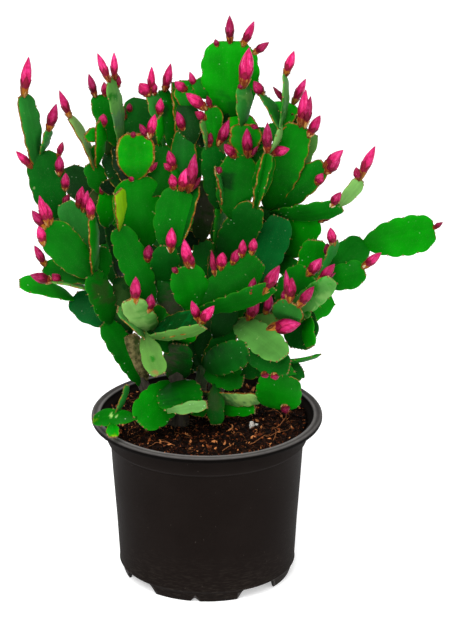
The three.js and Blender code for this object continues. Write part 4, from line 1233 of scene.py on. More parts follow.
class Bud(Growth):
    """A flower bud on its cup, and the line that it follows."""

    def __init__(self, row, young):
        self.parent, bx, bh, tx, th, self.width = row
        root = PLACED[self.parent].root_at(bx, bh)
        reach = math.hypot(tx - bx, th - bh)
        self.grow(root, seen(tx, th, root[1] - BUD_LEAN * reach))
        self.across, self.up = around(self.axis)
        self.draw = random.Random(repr(row))
        self.bend = self.draw.uniform(-0.05, 0.05)
        self.spin = self.draw.uniform(0, 2 * math.pi)
        self.seed = self.draw.random()
        small = 1 - min(1.0, max(0.0, self.length / YOUNG_LENGTH - 1))
        self.youth = 0.9 if young else 0.35 * self.draw.random() + 0.65 * small
        self.shade = self.draw.uniform(0.5, 1.15)

    def at(self, s, angle, radius):
        """The point at part s of the length, and radius mm out from the middle line."""
        middle = self.base + self.axis * (s * self.length)
        middle = middle + self.across * (4 * s * (1 - s) * self.bend * self.length)
        spin = angle + self.spin
        return middle + (self.across * math.cos(spin) + self.up * math.sin(spin)) * radius


# Profiles of a bud from its root: part of its length, and radius as a part of its width
CUP_END = 0.30
CUP_PROFILE = [(-0.04, 0.15), (0.02, 0.22), (0.08, 0.29), (0.15, 0.35), (0.22, 0.40),
               (0.28, 0.42), (CUP_END, 0.38), (CUP_END - 0.01, 0.22)]
CUP_OUTSIDE = CUP_PROFILE[:-1]
BODY_PROFILE = [(0.20, 0.22), (0.24, 0.33), (0.29, 0.39), (0.35, 0.44), (0.41, 0.475),
                (0.47, 0.495), (0.53, 0.50), (0.59, 0.49), (0.65, 0.46), (0.71, 0.415),
                (0.77, 0.355), (0.83, 0.285), (0.88, 0.215), (0.92, 0.155), (0.96, 0.095),
                (0.985, 0.05), (1.0, 0.018)]


def add_turned(surface, bud, profile, steps, skin, tone):
    """Turns a profile round a bud's line. skin gives how far each point swells, its form and
    its place across the grain."""
    rings, forms, places = [], [], []
    for s, r in profile:
        ring = []
        for k, angle in enumerate(turns(steps)):
            swell, form, across = skin(s, k, angle)
            ring.append(bud.at(s, angle, r * bud.width * swell))
            forms.append(form)
            places.append(grain_place(across, s * bud.length, bud.seed))
        rings.append(ring)
    surface.rings(rings, form=forms, place=places, tone=[tone] * len(forms))


def add_cup(surface, bud, tone):
    def ribbed(s, k, angle):
        rib = 1 + 0.09 * math.cos(TEPALS * angle) * float(ease(s * 8))
        return rib, (max(s, 0), 0.0, 0.0), k / CUP_STEPS * 2

    add_turned(surface, bud, CUP_PROFILE, CUP_STEPS, ribbed, tone)


HUSK_TONES = [(0.16, 0.03, 0.006), (0.10, 0.018, 0.004), (0.36, 0.17, 0.05), (0.55, 0.42, 0.26)]
HUSK_SHARE = [5, 3, 3, 0.7]


def add_husks(surface, bud):
    """Small dry scales that stand round a cup."""
    rows, columns = 4, 2
    for k in range(HUSKS):
        angle = 2 * math.pi * (k + 0.5 * bud.draw.random()) / HUSKS
        start, end = bud.draw.uniform(-0.02, 0.08), bud.draw.uniform(0.18, 0.30)
        tone = bud.draw.choices(HUSK_TONES, HUSK_SHARE)[0]
        outer, inner = [], []
        for i in range(rows + 1):
            part = i / rows
            s = start + (end - start) * part
            half = HUSK_SPREAD * math.sin(math.pi * (0.3 + 0.68 * part))
            hug = profile_radius(CUP_OUTSIDE, s) * bud.width + 0.12 + HUSK_LIFT * part * part
            for side in (-1, 0, 1):
                spread = angle + side * half
                outer.append(bud.at(s, spread, hug + 0.08 * (1 - abs(side))))
                inner.append(bud.at(s, spread, hug - 0.22))
        count = len(outer) + len(inner)
        forms = [(0.1, 0.0, 0.0)] * count
        places = [grain_place(k, 3, bud.seed)] * count
        faces = shell_faces(rows, columns)
        surface.add(outer + inner, faces, form=forms, place=places, tone=[tone] * count)


def shell_faces(rows, columns):
    """Faces of a thin closed shell: the outer points, row by row, and then the inner ones."""
    wide_row = columns + 1
    count = wide_row * (rows + 1)
    faces = []
    for i in range(rows):
        for k in range(columns):
            a = i * wide_row + k
            b = a + 1
            faces.append((a, b, b + wide_row, a + wide_row))
            faces.append((count + a, count + a + wide_row, count + b + wide_row, count + b))
    rim = list(range(wide_row))
    rim += [i * wide_row + columns for i in range(1, rows + 1)]
    rim += [rows * wide_row + k for k in range(columns - 1, -1, -1)]
    rim += [i * wide_row for i in range(rows - 1, 0, -1)]
    for a, b in zip(rim, rim[1:] + rim[:1]):
        faces.append((b, a, count + a, count + b))
    return faces


def add_body(surface, bud):
    """The folded petals of a bud, each lapped over the next."""
    def folded(s, k, angle):
        turn = (angle / (2 * math.pi) * TEPALS + 1.1 * s) % 1
        fold = 0.12 * (1 - turn) ** 2 * float(ease((s - 0.2) * 5))
        lobe = 0.05 * math.sin(math.pi * turn)
        petal = k // (BUD_STEPS // TEPALS)
        return 1 - fold + lobe, (s, min(turn, 1 - turn) * 2, bud.youth), turn + petal

    add_turned(surface, bud, BODY_PROFILE, BUD_STEPS, folded, (bud.shade,) * 3)


def profile_radius(profile, s):
    stations, radii = zip(*profile)
    return float(np.interp(s, stations, radii))


def add_scale(surface, bud, angle, end):
    """One outer scale of a bud: a pointed shell that hugs it and lifts a little at its tip."""
    rows, columns = 7, 4
    youth = min(0.9, bud.youth + 0.35)
    outer, inner, forms, places = [], [], [], []
    for i in range(rows + 1):
        part = i / rows
        s = SCALE_START + (end - SCALE_START) * part
        pointed = math.sin(math.pi * (0.22 + 0.78 * part)) ** 0.8 if part < 1 else 0.02
        half = SCALE_SPREAD * pointed
        for k in range(columns + 1):
            side = 2 * k / columns - 1
            spread = angle + side * half
            hug = profile_radius(BODY_PROFILE, s) * bud.width * 1.03 + 0.06
            hug += SCALE_LIFT * part * part
            hug -= 0.05 * side * side
            outer.append(bud.at(s, spread, hug + 0.10))
            inner.append(bud.at(s, spread, hug - 0.16))
            forms.append((s * 0.6, 1 - abs(side) * 0.8, youth))
            places.append(grain_place(side * 0.6 + angle, s * bud.length, bud.seed))
    faces = shell_faces(rows, columns)
    tones = [(bud.shade * 0.85, bud.shade * 0.8, bud.shade * 0.8)] * (2 * len(outer))
    surface.add(outer + inner, faces, form=forms * 2, place=places * 2, tone=tones)


def add_petals(surface, bud):
    add_body(surface, bud)
    for k in range(TEPALS):
        angle = 2 * math.pi * (k + 0.3) / TEPALS
        end = 0.47 + 0.16 * bud.draw.random()
        add_scale(surface, bud, angle, end)


def buds_of(stem):
    rows = [(row, False) for row in BUDS] + [(row, True) for row in YOUNG_BUDS]
    return [Bud(row, young) for row, young in rows if STEM_OF[row[0]] == stem]


def blob(surface, centre, axes, tone, rough, draw):
    """A small lump: a rounded block pulled out of true."""
    points = []
    for x, y, z in BLOB_POINTS:
        pull = 1 + rough * (2 * draw.random() - 1)
        points.append(centre + (axes[0] * x + axes[1] * y + axes[2] * z) * pull)
    surface.add(points, BLOB_FACES, tone=[tone] * len(points))


def blob_shape():
    shape = bmesh.new()
    bmesh.ops.create_icosphere(shape, subdivisions=1, radius=1.0)
    points = [tuple(v.co) for v in shape.verts]
    faces = [tuple(v.index for v in f.verts) for f in shape.faces]
    shape.free()
    return points, faces


BLOB_POINTS, BLOB_FACES = blob_shape()


def strand(surface, points, radius, tone, sides, taper):
    """A thin hair or fibre along points."""
    rings = []
    for i, p in enumerate(points):
        ahead = points[min(i + 1, len(points) - 1)] - points[max(i - 1, 0)]
        across, up = around(normal(ahead))
        r = radius * (1 - (1 - taper) * i / (len(points) - 1))
        rings.append([p + (across * math.cos(a) + up * math.sin(a)) * r for a in turns(sides)])
    surface.rings(rings, tone=[tone] * (len(points) * sides))


def add_areole(surface, blade, s, side, draw):
    """A tuft of felt in a notch, with a few bristles."""
    size = draw.uniform(0.6, 1.0)
    half = float(blade.half_width(s, side))
    centre = blade.point(s, side * (half - 0.1))
    out = blade.across * side
    axes = (out * 0.5 * size, blade.axis * 0.62 * size, blade.face * 0.6 * size)
    shade = draw.uniform(0.6, 1.1)
    blob(surface, centre, axes, (shade, shade, shade), 0.2, draw)
    for _ in range(draw.choice([1, 2, 3])):
        aim = out + blade.axis * draw.uniform(-0.2, 0.9) + blade.face * draw.uniform(-0.6, 0.6)
        reach = draw.uniform(0.9, 1.9) * size
        tip = centre + normal(aim) * reach
        shade = draw.uniform(0.9, 1.6)
        strand(surface, [centre, tip], 0.08, (shade, shade, shade * 0.9), *BRISTLE)


def add_tip_felt(surface, blade, draw):
    """The long areole across the end of a segment."""
    half = float(blade.half_width(0.985, 1))
    for k in range(-2, 3):
        centre = blade.point(0.995, k / 2.6 * half)
        axes = (blade.across * 0.7, blade.axis * 0.45, blade.face * 0.62)
        shade = draw.uniform(0.55, 1.0)
        blob(surface, centre, axes, (shade, shade, shade), 0.25, draw)
        if draw.random() < 0.6:
            aim = blade.axis + blade.across * draw.uniform(-0.6, 0.6)
            tip = centre + normal(aim) * draw.uniform(0.8, 1.6)
            strand(surface, [centre, tip], 0.08, (1.2, 1.15, 1.0), *BRISTLE)


def add_bud_bristles(surface, bud):
    """Pale bristles round the foot of a cup."""
    for turn in turns(BRISTLES):
        angle = turn + bud.spin
        foot = bud.at(0.0, angle, 0.2 * bud.width)
        tip = bud.at(0.13 + 0.08 * bud.draw.random(), angle, 0.47 * bud.width)
        shade = bud.draw.uniform(0.8, 1.5)
        strand(surface, [foot, tip], 0.09, (shade, shade * 0.92, shade * 0.8), *BRISTLE)


def curve_through(knots, steps):
    """Points of a smooth line through knots, steps to each stretch, with their knot places."""
    knots = [np.array(k, dtype=float) for k in knots]
    ends = [2 * knots[0] - knots[1]] + knots + [2 * knots[-1] - knots[-2]]
    points, places = [], []
    for i in range(1, len(ends) - 2):
        a, b, c, d = ends[i - 1 : i + 3]
        for k in range(steps):
            t = k / steps
            points.append(0.5 * (2 * b + (c - a) * t + (2 * a - 5 * b + 4 * c - d) * t * t
                                 + (3 * b - a - 3 * c + d) * t**3))
            places.append(i - 1 + t)
    points.append(knots[-1])
    places.append(len(knots) - 1.0)
    return points, places


def add_wood(surface, stem):
    """A whole stem from inside the soil to its last knot, with wrinkled bark."""
    parts = [PLACED[row[0]] for row in WOOD[stem]]
    knots = [parts[0].base - np.array([0, 0, depth]) for depth in (STEM_DEPTH, 2)]
    knots += [part.tip for part in parts]
    radii = [parts[0].foot_thickness / 2] * 2 + [part.thickness / 2 for part in parts]
    points, spots = curve_through(knots, BARK_STEPS)
    rings, forms, places = [], [], []
    across = around(normal(points[1] - points[0]))[0]
    for i, p in enumerate(points):
        ahead = normal(points[min(i + 1, len(points) - 1)] - points[max(i - 1, 0)])
        across = normal(across - ahead * (across @ ahead))
        up = np.cross(ahead, across)
        radius = float(np.interp(spots[i], range(len(radii)), radii))
        radius *= 1 + 0.18 * max(0.0, 1 - spots[i] / 1.6)
        green = float(ease((i / len(points) - 0.55) * 2.4))
        ring = []
        for k, angle in enumerate(turns(BARK_SIDES)):
            out = across * math.cos(angle) + up * math.sin(angle)
            spot = Vector((p + out * radius) * 0.32)
            wrinkle = 0.10 * math.cos(4 * angle + 0.4 * i) + 0.22 * noise.noise(spot)
            fine = 0.07 * noise.noise(spot * 3.1)
            ring.append(p + out * radius * (1 + wrinkle + fine))
            forms.append((green, 0.0, 0.0))
            places.append((k / BARK_SIDES * 2, i * 0.12, 0.0))
        rings.append(ring)
    surface.rings(rings, form=forms, place=places)


# The pot's section, from under its floor, up its outside, over the rim and down inside. Each
# row: a radius and a height, and how far out and up from there the points of the section are.
POT_SECTION = [
    [0, FLOOR_UNDERSIDE, (0, 0), (20, 0)],
    [FOOT_RADIUS - FOOT_THICKNESS, FLOOR_UNDERSIDE, (-0.3, 0), (0, -0.3)],
    [FOOT_RADIUS - FOOT_THICKNESS, 0, (0, 0.2), (0.2, 0)],
    [FOOT_RADIUS, 0, (-0.2, 0), (0.02, 0.2), (0.75, 2.2)],
    [WALL_FOOT_RADIUS, 0, (-0.75, 4.6)],
    [WALL_FOOT_RADIUS, RIDGE_HEIGHT, (-0.35, -0.75), (0.12, -0.35), (0.3, 0), (0.16, 0.3),
     (0.06, 0.55)],
    [WALL_FOOT_RADIUS, 0, (1.35, 30)],
    [WALL_TOP_RADIUS, 0, (-1.4, 52)],
    [WALL_TOP_RADIUS, STEP_HEIGHT, (-0.02, -1.5), (0.1, -1.2)],
    [STEP_RADIUS, STEP_HEIGHT, (-0.55, -0.35), (0, -0.05), (0.16, 0.3), (0.12, 0.7)],
    [STEP_RADIUS, 0, (0.5, 79)],
    [COLLAR_RADIUS, POT_HEIGHT, (-0.05, -5), (0.05, -4.5), (0.35, -3.9), (0.95, -3.45)],
    [0, POT_HEIGHT, (56.5, -3.15)],
    [RIM_RADIUS, POT_HEIGHT, (-0.8, -2.95), (-0.25, -2.7), (0, -2.2), (0, -1.1), (-0.15, -0.6),
     (-0.45, -0.2), (-0.95, -0.02), (-1.4, -0.08), (-1.8, -0.42), (-2.5, -0.5)],
    [RIM_INNER_RADIUS, POT_HEIGHT, (1.0, -0.3), (0.5, -0.14), (0, -0.3), (-0.4, -0.9),
     (-1.6, -2.4)],
    [COLLAR_RADIUS - WALL, POT_HEIGHT, (0.6, -3.6), (0.15, -4.6)],
    [STEP_RADIUS - WALL, STEP_HEIGHT, (0.1, 0.6)],
    [WALL_TOP_RADIUS - WALL, STEP_HEIGHT, (0, -1.6)],
    [WALL_FOOT_RADIUS - WALL, FLOOR_TOP, (0, 0.4), (-0.4, 0)],
    [0, FLOOR_TOP, (0, 0)],
]


def pot_profile():
    """The radius and height of each point of the pot's section."""
    profile = []
    for radius, height, *offsets in POT_SECTION:
        profile += [(radius + out, height + up) for out, up in offsets]
    return profile


def wear(radius, height):
    """How greyed, partly by wear and partly by a painted highlight on the rim, how dusty, and how
    much painted shade the pot has at a point of its section.
    """
    top = float(ease((height - POT_HEIGHT + 0.9) / 0.4)) * (radius > RIM_INNER_RADIUS - 0.5)
    inner = math.exp(-(((radius - RIM_INNER_RADIUS - 0.5) / 0.8) ** 2))
    outer = 0.3 * math.exp(-(((radius - RIM_RADIUS + 0.8) / 0.7) ** 2))
    step = 0.05 * math.exp(-(((height - STEP_HEIGHT - 0.1) / 0.5) ** 2))
    step *= radius > STEP_RADIUS - 0.8
    ridge = 0.03 * math.exp(-(((height - RIDGE_HEIGHT) / 0.4) ** 2))
    ridge *= radius > WALL_FOOT_RADIUS
    # Painted shade on the outer face of the rim, under its roll
    face = (radius > COLLAR_RADIUS + 0.8) * float(ease((POT_HEIGHT - 0.4 - height) / 0.5))
    # The rim's grey: partly wear, partly a painted highlight along its edges
    worn = top * (0.32 + 0.68 * inner + outer) + step + ridge
    dusty = float(ease((20 - height) / 20)) * 0.5 + top * 0.3
    return worn, dusty, face


def lathe(surface, profile, steps):
    """Turns a profile that starts and ends on the axis."""
    rings, forms = [], []
    for radius, height in profile[1:-1]:
        rings.append([np.array([x, y, height]) for x, y in circle(radius, steps)])
        forms += [wear(radius, height)] * steps
    surface.rings(rings, form=forms)


def cutter(points, degrees):
    """A prism of (x, z) points through the foot ring, turned about the pot's axis."""
    shape = bmesh.new()
    spin = Matrix.Rotation(math.radians(degrees), 4, "Z")
    ends = []
    for depth in FOOT_CUT:
        ends.append([shape.verts.new(spin @ Vector((x, depth, z))) for x, z in points])
    count = len(points)
    for k in range(count):
        nxt = (k + 1) % count
        shape.faces.new((ends[0][k], ends[0][nxt], ends[1][nxt], ends[1][k]))
    shape.faces.new(tuple(reversed(ends[0])))
    shape.faces.new(tuple(ends[1]))
    return shape


def drain(turn):
    """A round bar through the pot's floor."""
    shape = bmesh.new()
    bmesh.ops.create_cone(
        shape, cap_ends=True, segments=DRAIN_SIDES, radius1=DRAIN_RADIUS, radius2=DRAIN_RADIUS,
        depth=8,
    )
    place = Matrix.Rotation(turn, 4, "Z") @ Matrix.Translation((DRAIN_CIRCLE, 0, FLOOR_TOP))
    bmesh.ops.transform(shape, matrix=place, verts=shape.verts)
    return shape


def gap_outline():
    half, slim, height = FOOT_GAP_WIDTH / 2, FOOT_GAP_TOP_WIDTH / 2, FOOT_GAP_HEIGHT
    return [(-half, -1), (half, -1), (half, 0), (slim + 0.4, height - 0.9), (slim - 0.5, height),
            (-slim + 0.5, height), (-slim - 0.4, height - 0.9), (-half, 0)]


def nick_outline():
    half = FOOT_NICK_WIDTH / 2
    return [(-half, -1), (half, -1), (half, 0), (0.4, FOOT_NICK_HEIGHT),
            (-0.4, FOOT_NICK_HEIGHT), (-half, 0)]


def cut_foot(pot):
    """Cuts the drain holes, and the gaps and nicks of the foot ring."""
    shapes = [drain(turn) for turn in turns(DRAIN_HOLES)]
    for degrees in FOOT_GAPS:
        shapes.append(cutter(gap_outline(), degrees))
        shapes.append(cutter(nick_outline(), degrees + FOOT_NICK_TURN))
    for shape in shapes:
        bmesh.ops.recalc_face_normals(shape, faces=shape.faces)
        for vert in shape.verts:
            vert.co = (vert.co - Vector(SPREAD)) * MM
        mesh = bpy.data.meshes.new("cut")
        shape.to_mesh(mesh)
        shape.free()
        tool = bpy.data.objects.new("cut", mesh)
        bpy.context.scene.collection.objects.link(tool)
        cut = pot.modifiers.new("cut", "BOOLEAN")
        cut.operation, cut.solver, cut.object = "DIFFERENCE", "EXACT", tool
        settle(pot)
        bpy.data.objects.remove(tool)
        bpy.data.meshes.remove(mesh)


def settle(thing):
    """Makes a piece's modifiers part of its mesh."""
    graph = bpy.context.evaluated_depsgraph_get()
    made = bpy.data.meshes.new_from_object(thing.evaluated_get(graph))
    old = thing.data
    thing.modifiers.clear()
    thing.data = made
    bpy.data.meshes.remove(old)


def soil_height(x, y):
    """Height of the soil's lumpy top in mm."""
    r = math.hypot(x, y)
    mound = SOIL_TOP + 0.6 - 0.1 * (r / 46) ** 4
    spot = Vector((x * 0.16, y * 0.16, 0.0))
    return mound + 1.1 * noise.noise(spot) + 0.75 * noise.noise(spot * 3.3)


def add_soil(surface):
    profile = [(WALL_FOOT_RADIUS - WALL - 0.5, FLOOR_TOP + SOIL_GAP),
               (WALL_TOP_RADIUS - WALL - 0.6, STEP_HEIGHT - 1.4),
               (STEP_RADIUS - WALL - 0.45, STEP_HEIGHT + 1), (SOIL_EDGE, SOIL_TOP - 2.4)]
    rings = []
    for radius, height in profile:
        rings.append([np.array([x, y, height]) for x, y in circle(radius, SOIL_STEPS)])
    for i in range(SOIL_RINGS):
        radius = (SOIL_EDGE - 0.15) * (1 - i / (SOIL_RINGS + 0.5))
        rings.append([soil_point(x, y) for x, y in circle(radius, SOIL_STEPS)])
    surface.rings(rings)


def soil_point(x, y, lift=0.0):
    return np.array([x, y, soil_height(x, y) + lift])


def on_soil(draw, reach):
    """A point anywhere on the soil, up to reach mm from the pot's axis."""
    angle = draw.uniform(0, 2 * math.pi)
    radius = reach * math.sqrt(draw.random())
    return soil_point(radius * math.cos(angle), radius * math.sin(angle))


def any_turn(draw):
    """Three directions square to each other, turned in any way."""
    a = normal(np.array([draw.gauss(0, 1) for _ in range(3)]))
    b, c = around(a)
    return a, b, c


CRUMB_TONES = [(0.003, 0.0015, 0.001), (0.008, 0.003, 0.002), (0.018, 0.006, 0.003),
               (0.045, 0.012, 0.005), (0.12, 0.030, 0.009), (0.29, 0.075, 0.020),
               (0.55, 0.20, 0.065)]
CRUMB_SHARE = [42, 27, 12, 6, 5, 5, 4]


def add_crumbs(surface, count):
    draw = random.Random("crumbs")
    for _ in range(count):
        place = on_soil(draw, CRUMB_REACH)
        a, b, c = any_turn(draw)
        # Many small ones to each large one
        size = 0.3 + 0.85 * draw.random() ** 2.6
        flat = draw.uniform(0.25, 0.9)
        axes = (a * size * draw.uniform(0.8, 2.4), b * size * 0.8, c * size * flat)
        tone = draw.choices(CRUMB_TONES, CRUMB_SHARE)[0]
        place[2] += size * draw.uniform(-0.1, 0.45)
        blob(surface, place, axes, tone, 0.28, draw)


def add_fibres(surface, count, colour):
    draw = random.Random("fibres")
    steps = 5
    for _ in range(count):
        place = on_soil(draw, FIBRE_REACH)
        aim = draw.uniform(0, 2 * math.pi)
        bend = draw.uniform(-0.15, 0.15)
        reach = draw.uniform(2.0, 7.5) if draw.random() < 0.85 else draw.uniform(8, 15)
        rise = draw.uniform(0.1, 0.8)
        points = []
        for i in range(steps + 1):
            heading = aim + bend * i
            place = place + np.array([math.cos(heading), math.sin(heading), 0]) * reach / steps
            if math.hypot(place[0], place[1]) > FIBRE_LIMIT:
                break
            arch = rise * math.sin(math.pi * i / steps) * 1.6
            points.append(soil_point(place[0], place[1], 0.35 + arch))
        if len(points) < 3:
            continue
        shade = draw.uniform(0.15, 0.9)
        tone = (colour[0] * shade, colour[1] * shade, colour[2] * shade)
        strand(surface, points, draw.uniform(0.09, 0.2), tone, *FIBRE)


# Long pale fibres that show at the front right: start x, y, heading in degrees, length.
LONG_FIBRES = [(36, -14, 50, 22), (30, -26, 12, 19), (40, -4, 100, 16), (34, -30, 64, 15),
               (44, 6, 140, 13), (22, -34, 20, 17), (-16, -36, 160, 14), (8, -44, 30, 12)]


def add_long_fibres(surface, colour):
    draw = random.Random("long fibres")
    steps = 7
    for x, y, heading, reach in LONG_FIBRES:
        angle = math.radians(heading)
        points = []
        for i in range(steps + 1):
            t = i / steps
            px = x + math.cos(angle + 0.5 * t) * reach * t
            py = y + math.sin(angle + 0.5 * t) * reach * t
            if math.hypot(px, py) > LONG_FIBRE_LIMIT:
                break
            points.append(soil_point(px, py, 0.5 + 1.6 * math.sin(math.pi * t)))
        shade = draw.uniform(1.0, 1.5)
        strand(surface, points, 0.2, tuple(c * shade for c in colour), *FIBRE)


def add_root_hairs(surface):
    """Thin roots that run from the foot of each stem into the soil."""
    draw = random.Random("root hairs")
    steps = 4
    for rows in WOOD.values():
        foot = PLACED[rows[0][0]]
        for _ in range(ROOT_HAIRS):
            angle = draw.uniform(0, 2 * math.pi)
            out = np.array([math.cos(angle), math.sin(angle), 0])
            start = foot.base + out * foot.foot_thickness * 0.5
            start = start + np.array([0, 0, draw.uniform(1, 5)])
            points = []
            for i in range(steps + 1):
                t = i / steps
                p = start + out * (ROOT_HAIR_REACH * draw.uniform(0.6, 1.2)) * t
                p[2] = (1 - t) * start[2] + t * (soil_height(p[0], p[1]) + 0.2)
                points.append(p)
            strand(surface, points, 0.16, (0.09, 0.06, 0.035), *FIBRE)


# White grains: x, y on the soil, and radius.
GRAINS = [(23, -12, 1.9), (25.5, -10, 1.2), (-30, 12, 0.9), (10, 38, 1.1), (-8, 30, 0.8)]


def add_grains(surface):
    draw = random.Random("grains")
    for x, y, radius in GRAINS:
        centre = soil_point(x, y, radius * 0.45)
        a, b, c = any_turn(draw)
        axes = (a * radius * 1.3, b * radius, c * radius * 0.8)
        blob(surface, centre, axes, (1, 1, 1), 0.3, draw)


# Operators


class BuildPot(bpy.types.Operator):
    """Turns the nursery pot and cuts the gaps of its foot ring"""

    bl_idname = "cactus.build_pot"
    bl_label = "Build pot"

    def execute(self, context):
        looks = context.scene.cactus_pot
        surface = Surface()
        lathe(surface, pot_profile(), looks.steps)
        pot = surface.piece("nursery_pot", "pot_plastic", plastic_finish(looks), ["pot"])
        cut_foot(pot)
        pot.data.set_sharp_from_angle(angle=SHARP_ANGLE)
        return {"FINISHED"}


class BuildSoil(bpy.types.Operator):
    """Fills the pot with soil, crumbs, fibres and grains"""

    bl_idname = "cactus.build_soil"
    bl_label = "Build soil"

    def execute(self, context):
        looks = context.scene.cactus_soil
        surface = Surface()
        add_soil(surface)
        surface.piece("soil_bed", "potting_soil", soil_finish(looks), ["soil"])
        surface = Surface()
        add_crumbs(surface, looks.crumbs)
        crumbs = crumb_finish("soil crumbs", 0.6)
        surface.piece("soil_crumbs", "potting_soil", crumbs, smooth=False)
        surface = Surface()
        add_fibres(surface, looks.fibres, looks.fibre)
        add_long_fibres(surface, looks.fibre)
        add_root_hairs(surface)
        surface.piece("coir_fibres", "soil_fibre", crumb_finish("coir fibre", 0.5))
        surface = Surface()
        add_grains(surface)
        surface.piece("white_grains", "perlite", grain_finish(), smooth=False)
        return {"FINISHED"}


class BuildWood(bpy.types.Operator):
    """Grows the woody stems out of the soil"""

    bl_idname = "cactus.build_wood"
    bl_label = "Build woody stems"

    def execute(self, context):
        surface = Surface()
        for stem in WOOD:
            add_wood(surface, stem)
        surface.piece("woody_stems", "woody_stem", bark_finish(context.scene.cactus_wood))
        return {"FINISHED"}


class BuildSegments(bpy.types.Operator):
    """Grows the flat green segments of each stem"""

    bl_idname = "cactus.build_segments"
    bl_label = "Build segments"

    def execute(self, context):
        looks = context.scene.cactus_segments
        skin = segment_finish(looks)
        for stem in BLADES:
            surface = Surface()
            for blade in blades_of(stem):
                add_blade(surface, blade, looks)
            surface.piece(stem + "_segments", "cactus_green", skin, [stem])
        return {"FINISHED"}


class BuildBuds(bpy.types.Operator):
    """Sets the flower buds on the segments, each on its cup"""

    bl_idname = "cactus.build_buds"
    bl_label = "Build buds"

    def execute(self, context):
        looks = context.scene.cactus_buds
        silk, waxy = petal_finish(looks), cup_finish()
        tones = {"red": looks.cup_red, "gold": looks.cup_gold, "green": looks.cup_green}
        for stem in BLADES:
            petals, cups = Surface(), Surface()
            for bud in buds_of(stem):
                add_petals(petals, bud)
                add_cup(cups, bud, tuple(tones[marked(CUPS, bud.parent, "red")]))
                add_husks(cups, bud)
            petals.piece(stem + "_buds", "bud_pink", silk)
            cups.piece(stem + "_bud_cups", "bud_cup", waxy)
        return {"FINISHED"}


class BuildAreoles(bpy.types.Operator):
    """Sets felt and bristles in the notches of the segments"""

    bl_idname = "cactus.build_areoles"
    bl_label = "Build areoles"

    def execute(self, context):
        felt = felt_finish(context.scene.cactus_wood)
        for stem in BLADES:
            surface = Surface()
            for blade in blades_of(stem):
                draw = random.Random("areole " + blade.name)
                for side in (-1, 1):
                    for s in blade.notches(side):
                        add_areole(surface, blade, s, side, draw)
                add_tip_felt(surface, blade, draw)
            for bud in buds_of(stem):
                add_bud_bristles(surface, bud)
            surface.piece(stem + "_areoles", "areole", felt)
        return {"FINISHED"}


# Each lamp: name, the setting for its power and its share of that, place and size in m, and
# whether it makes highlights.
LAMPS = [
    ["key", "key", 1.0, (-0.35, -0.75, 1.0), 0.9, True],
    ["fill", "fill", 1.0, (0.9, -0.5, 0.6), 1.1, True],
    ["top", "fill", 0.8, (0.1, 0.35, 1.3), 1.2, True],
    ["back", "fill", 0.7, (-0.4, 1.1, 0.7), 1.0, False],
]
LAMP_AIM = Vector((0, 0, 0.15))
FLOOR_SIZE = 20.0
FILM_WIDTH = 36
CLIPPING = (0.05, 20)


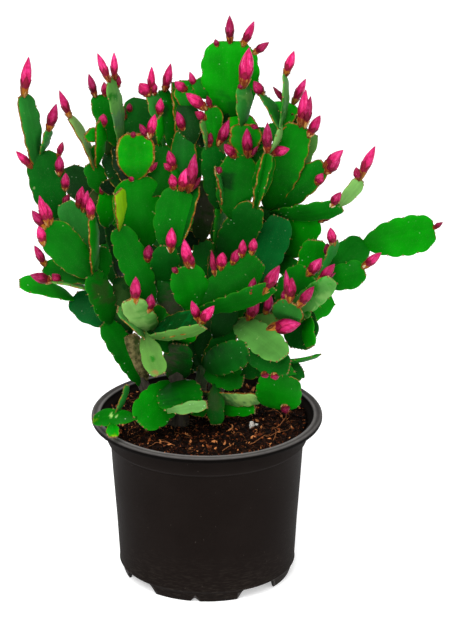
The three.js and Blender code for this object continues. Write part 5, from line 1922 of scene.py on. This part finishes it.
class BuildStudio(bpy.types.Operator):
    """Sets up the pale floor, the lamps, the surround and the camera"""

    bl_idname = "cactus.build_studio"
    bl_label = "Build studio"

    def execute(self, context):
        looks = context.scene.cactus_studio
        floor = bmesh.new()
        bmesh.ops.create_grid(floor, x_segments=8, y_segments=8, size=FLOOR_SIZE)
        mesh = bpy.data.meshes.new("floor")
        floor.to_mesh(mesh)
        floor.free()
        mesh.materials.append(floor_finish(looks))
        plane = bpy.data.objects.new("floor", mesh)
        context.scene.collection.objects.link(plane)
        for row in LAMPS:
            self.lamp(context, looks, *row)
        world = bpy.data.worlds.new("surround")
        world.use_nodes = True
        back = world.node_tree.nodes["Background"]
        back.inputs["Color"].default_value = (1.0, 1.0, 1.0, 1.0)
        back.inputs["Strength"].default_value = looks.sky
        context.scene.world = world
        context.scene.view_settings.view_transform = "Standard"
        self.camera(context)
        return {"FINISHED"}

    def lamp(self, context, looks, name, setting, share, place, size, glossy):
        data = bpy.data.lights.new(name, "AREA")
        data.energy, data.size = getattr(looks, setting) * share, size
        thing = bpy.data.objects.new(name, data)
        thing.visible_glossy = glossy
        thing.location = place
        aim = LAMP_AIM - Vector(place)
        thing.rotation_mode = "QUATERNION"
        thing.rotation_quaternion = aim.to_track_quat("-Z", "Y")
        context.scene.collection.objects.link(thing)

    def camera(self, context):
        data = bpy.data.cameras.new("camera")
        data.lens = EYE_LENS
        data.sensor_width = FILM_WIDTH
        data.clip_start, data.clip_end = CLIPPING
        thing = bpy.data.objects.new("camera", data)
        thing.location = (EYE - SPREAD) * MM
        thing.rotation_euler = (math.pi / 2 - SIGHT, 0, 0)
        context.scene.collection.objects.link(thing)
        context.scene.camera = thing


OPERATORS = (BuildPot, BuildSoil, BuildWood, BuildSegments, BuildBuds, BuildAreoles, BuildStudio)
SETTINGS = {
    "cactus_segments": SegmentSettings,
    "cactus_buds": BudSettings,
    "cactus_wood": WoodSettings,
    "cactus_pot": PotSettings,
    "cactus_soil": SoilSettings,
    "cactus_studio": StudioSettings,
}


class CactusPanel(bpy.types.Panel):
    """Settings and steps of the potted cactus"""

    bl_idname = "VIEW3D_PT_cactus"
    bl_label = "Potted cactus"
    bl_space_type = "VIEW_3D"
    bl_region_type = "UI"
    bl_category = "Cactus"

    def draw(self, context):
        for operator in OPERATORS:
            self.layout.operator(operator.bl_idname)
        for name, group in SETTINGS.items():
            box = self.layout.box()
            box.label(text=name.replace("cactus_", "").capitalize())
            for field in group.__annotations__:
                box.prop(getattr(context.scene, name), field)


def register():
    for group in SETTINGS.values():
        bpy.utils.register_class(group)
    for thing in (*OPERATORS, CactusPanel):
        bpy.utils.register_class(thing)
    for name, group in SETTINGS.items():
        setattr(bpy.types.Scene, name, bpy.props.PointerProperty(type=group))


def unregister():
    for name in SETTINGS:
        delattr(bpy.types.Scene, name)
    for thing in (CactusPanel, *reversed(OPERATORS)):
        bpy.utils.unregister_class(thing)
    for group in reversed(list(SETTINGS.values())):
        bpy.utils.unregister_class(group)


def main():
    register()
    for operator in OPERATORS:
        group, name = operator.bl_idname.split(".")
        getattr(getattr(bpy.ops, group), name)()


if __name__ == "__main__":
    main()
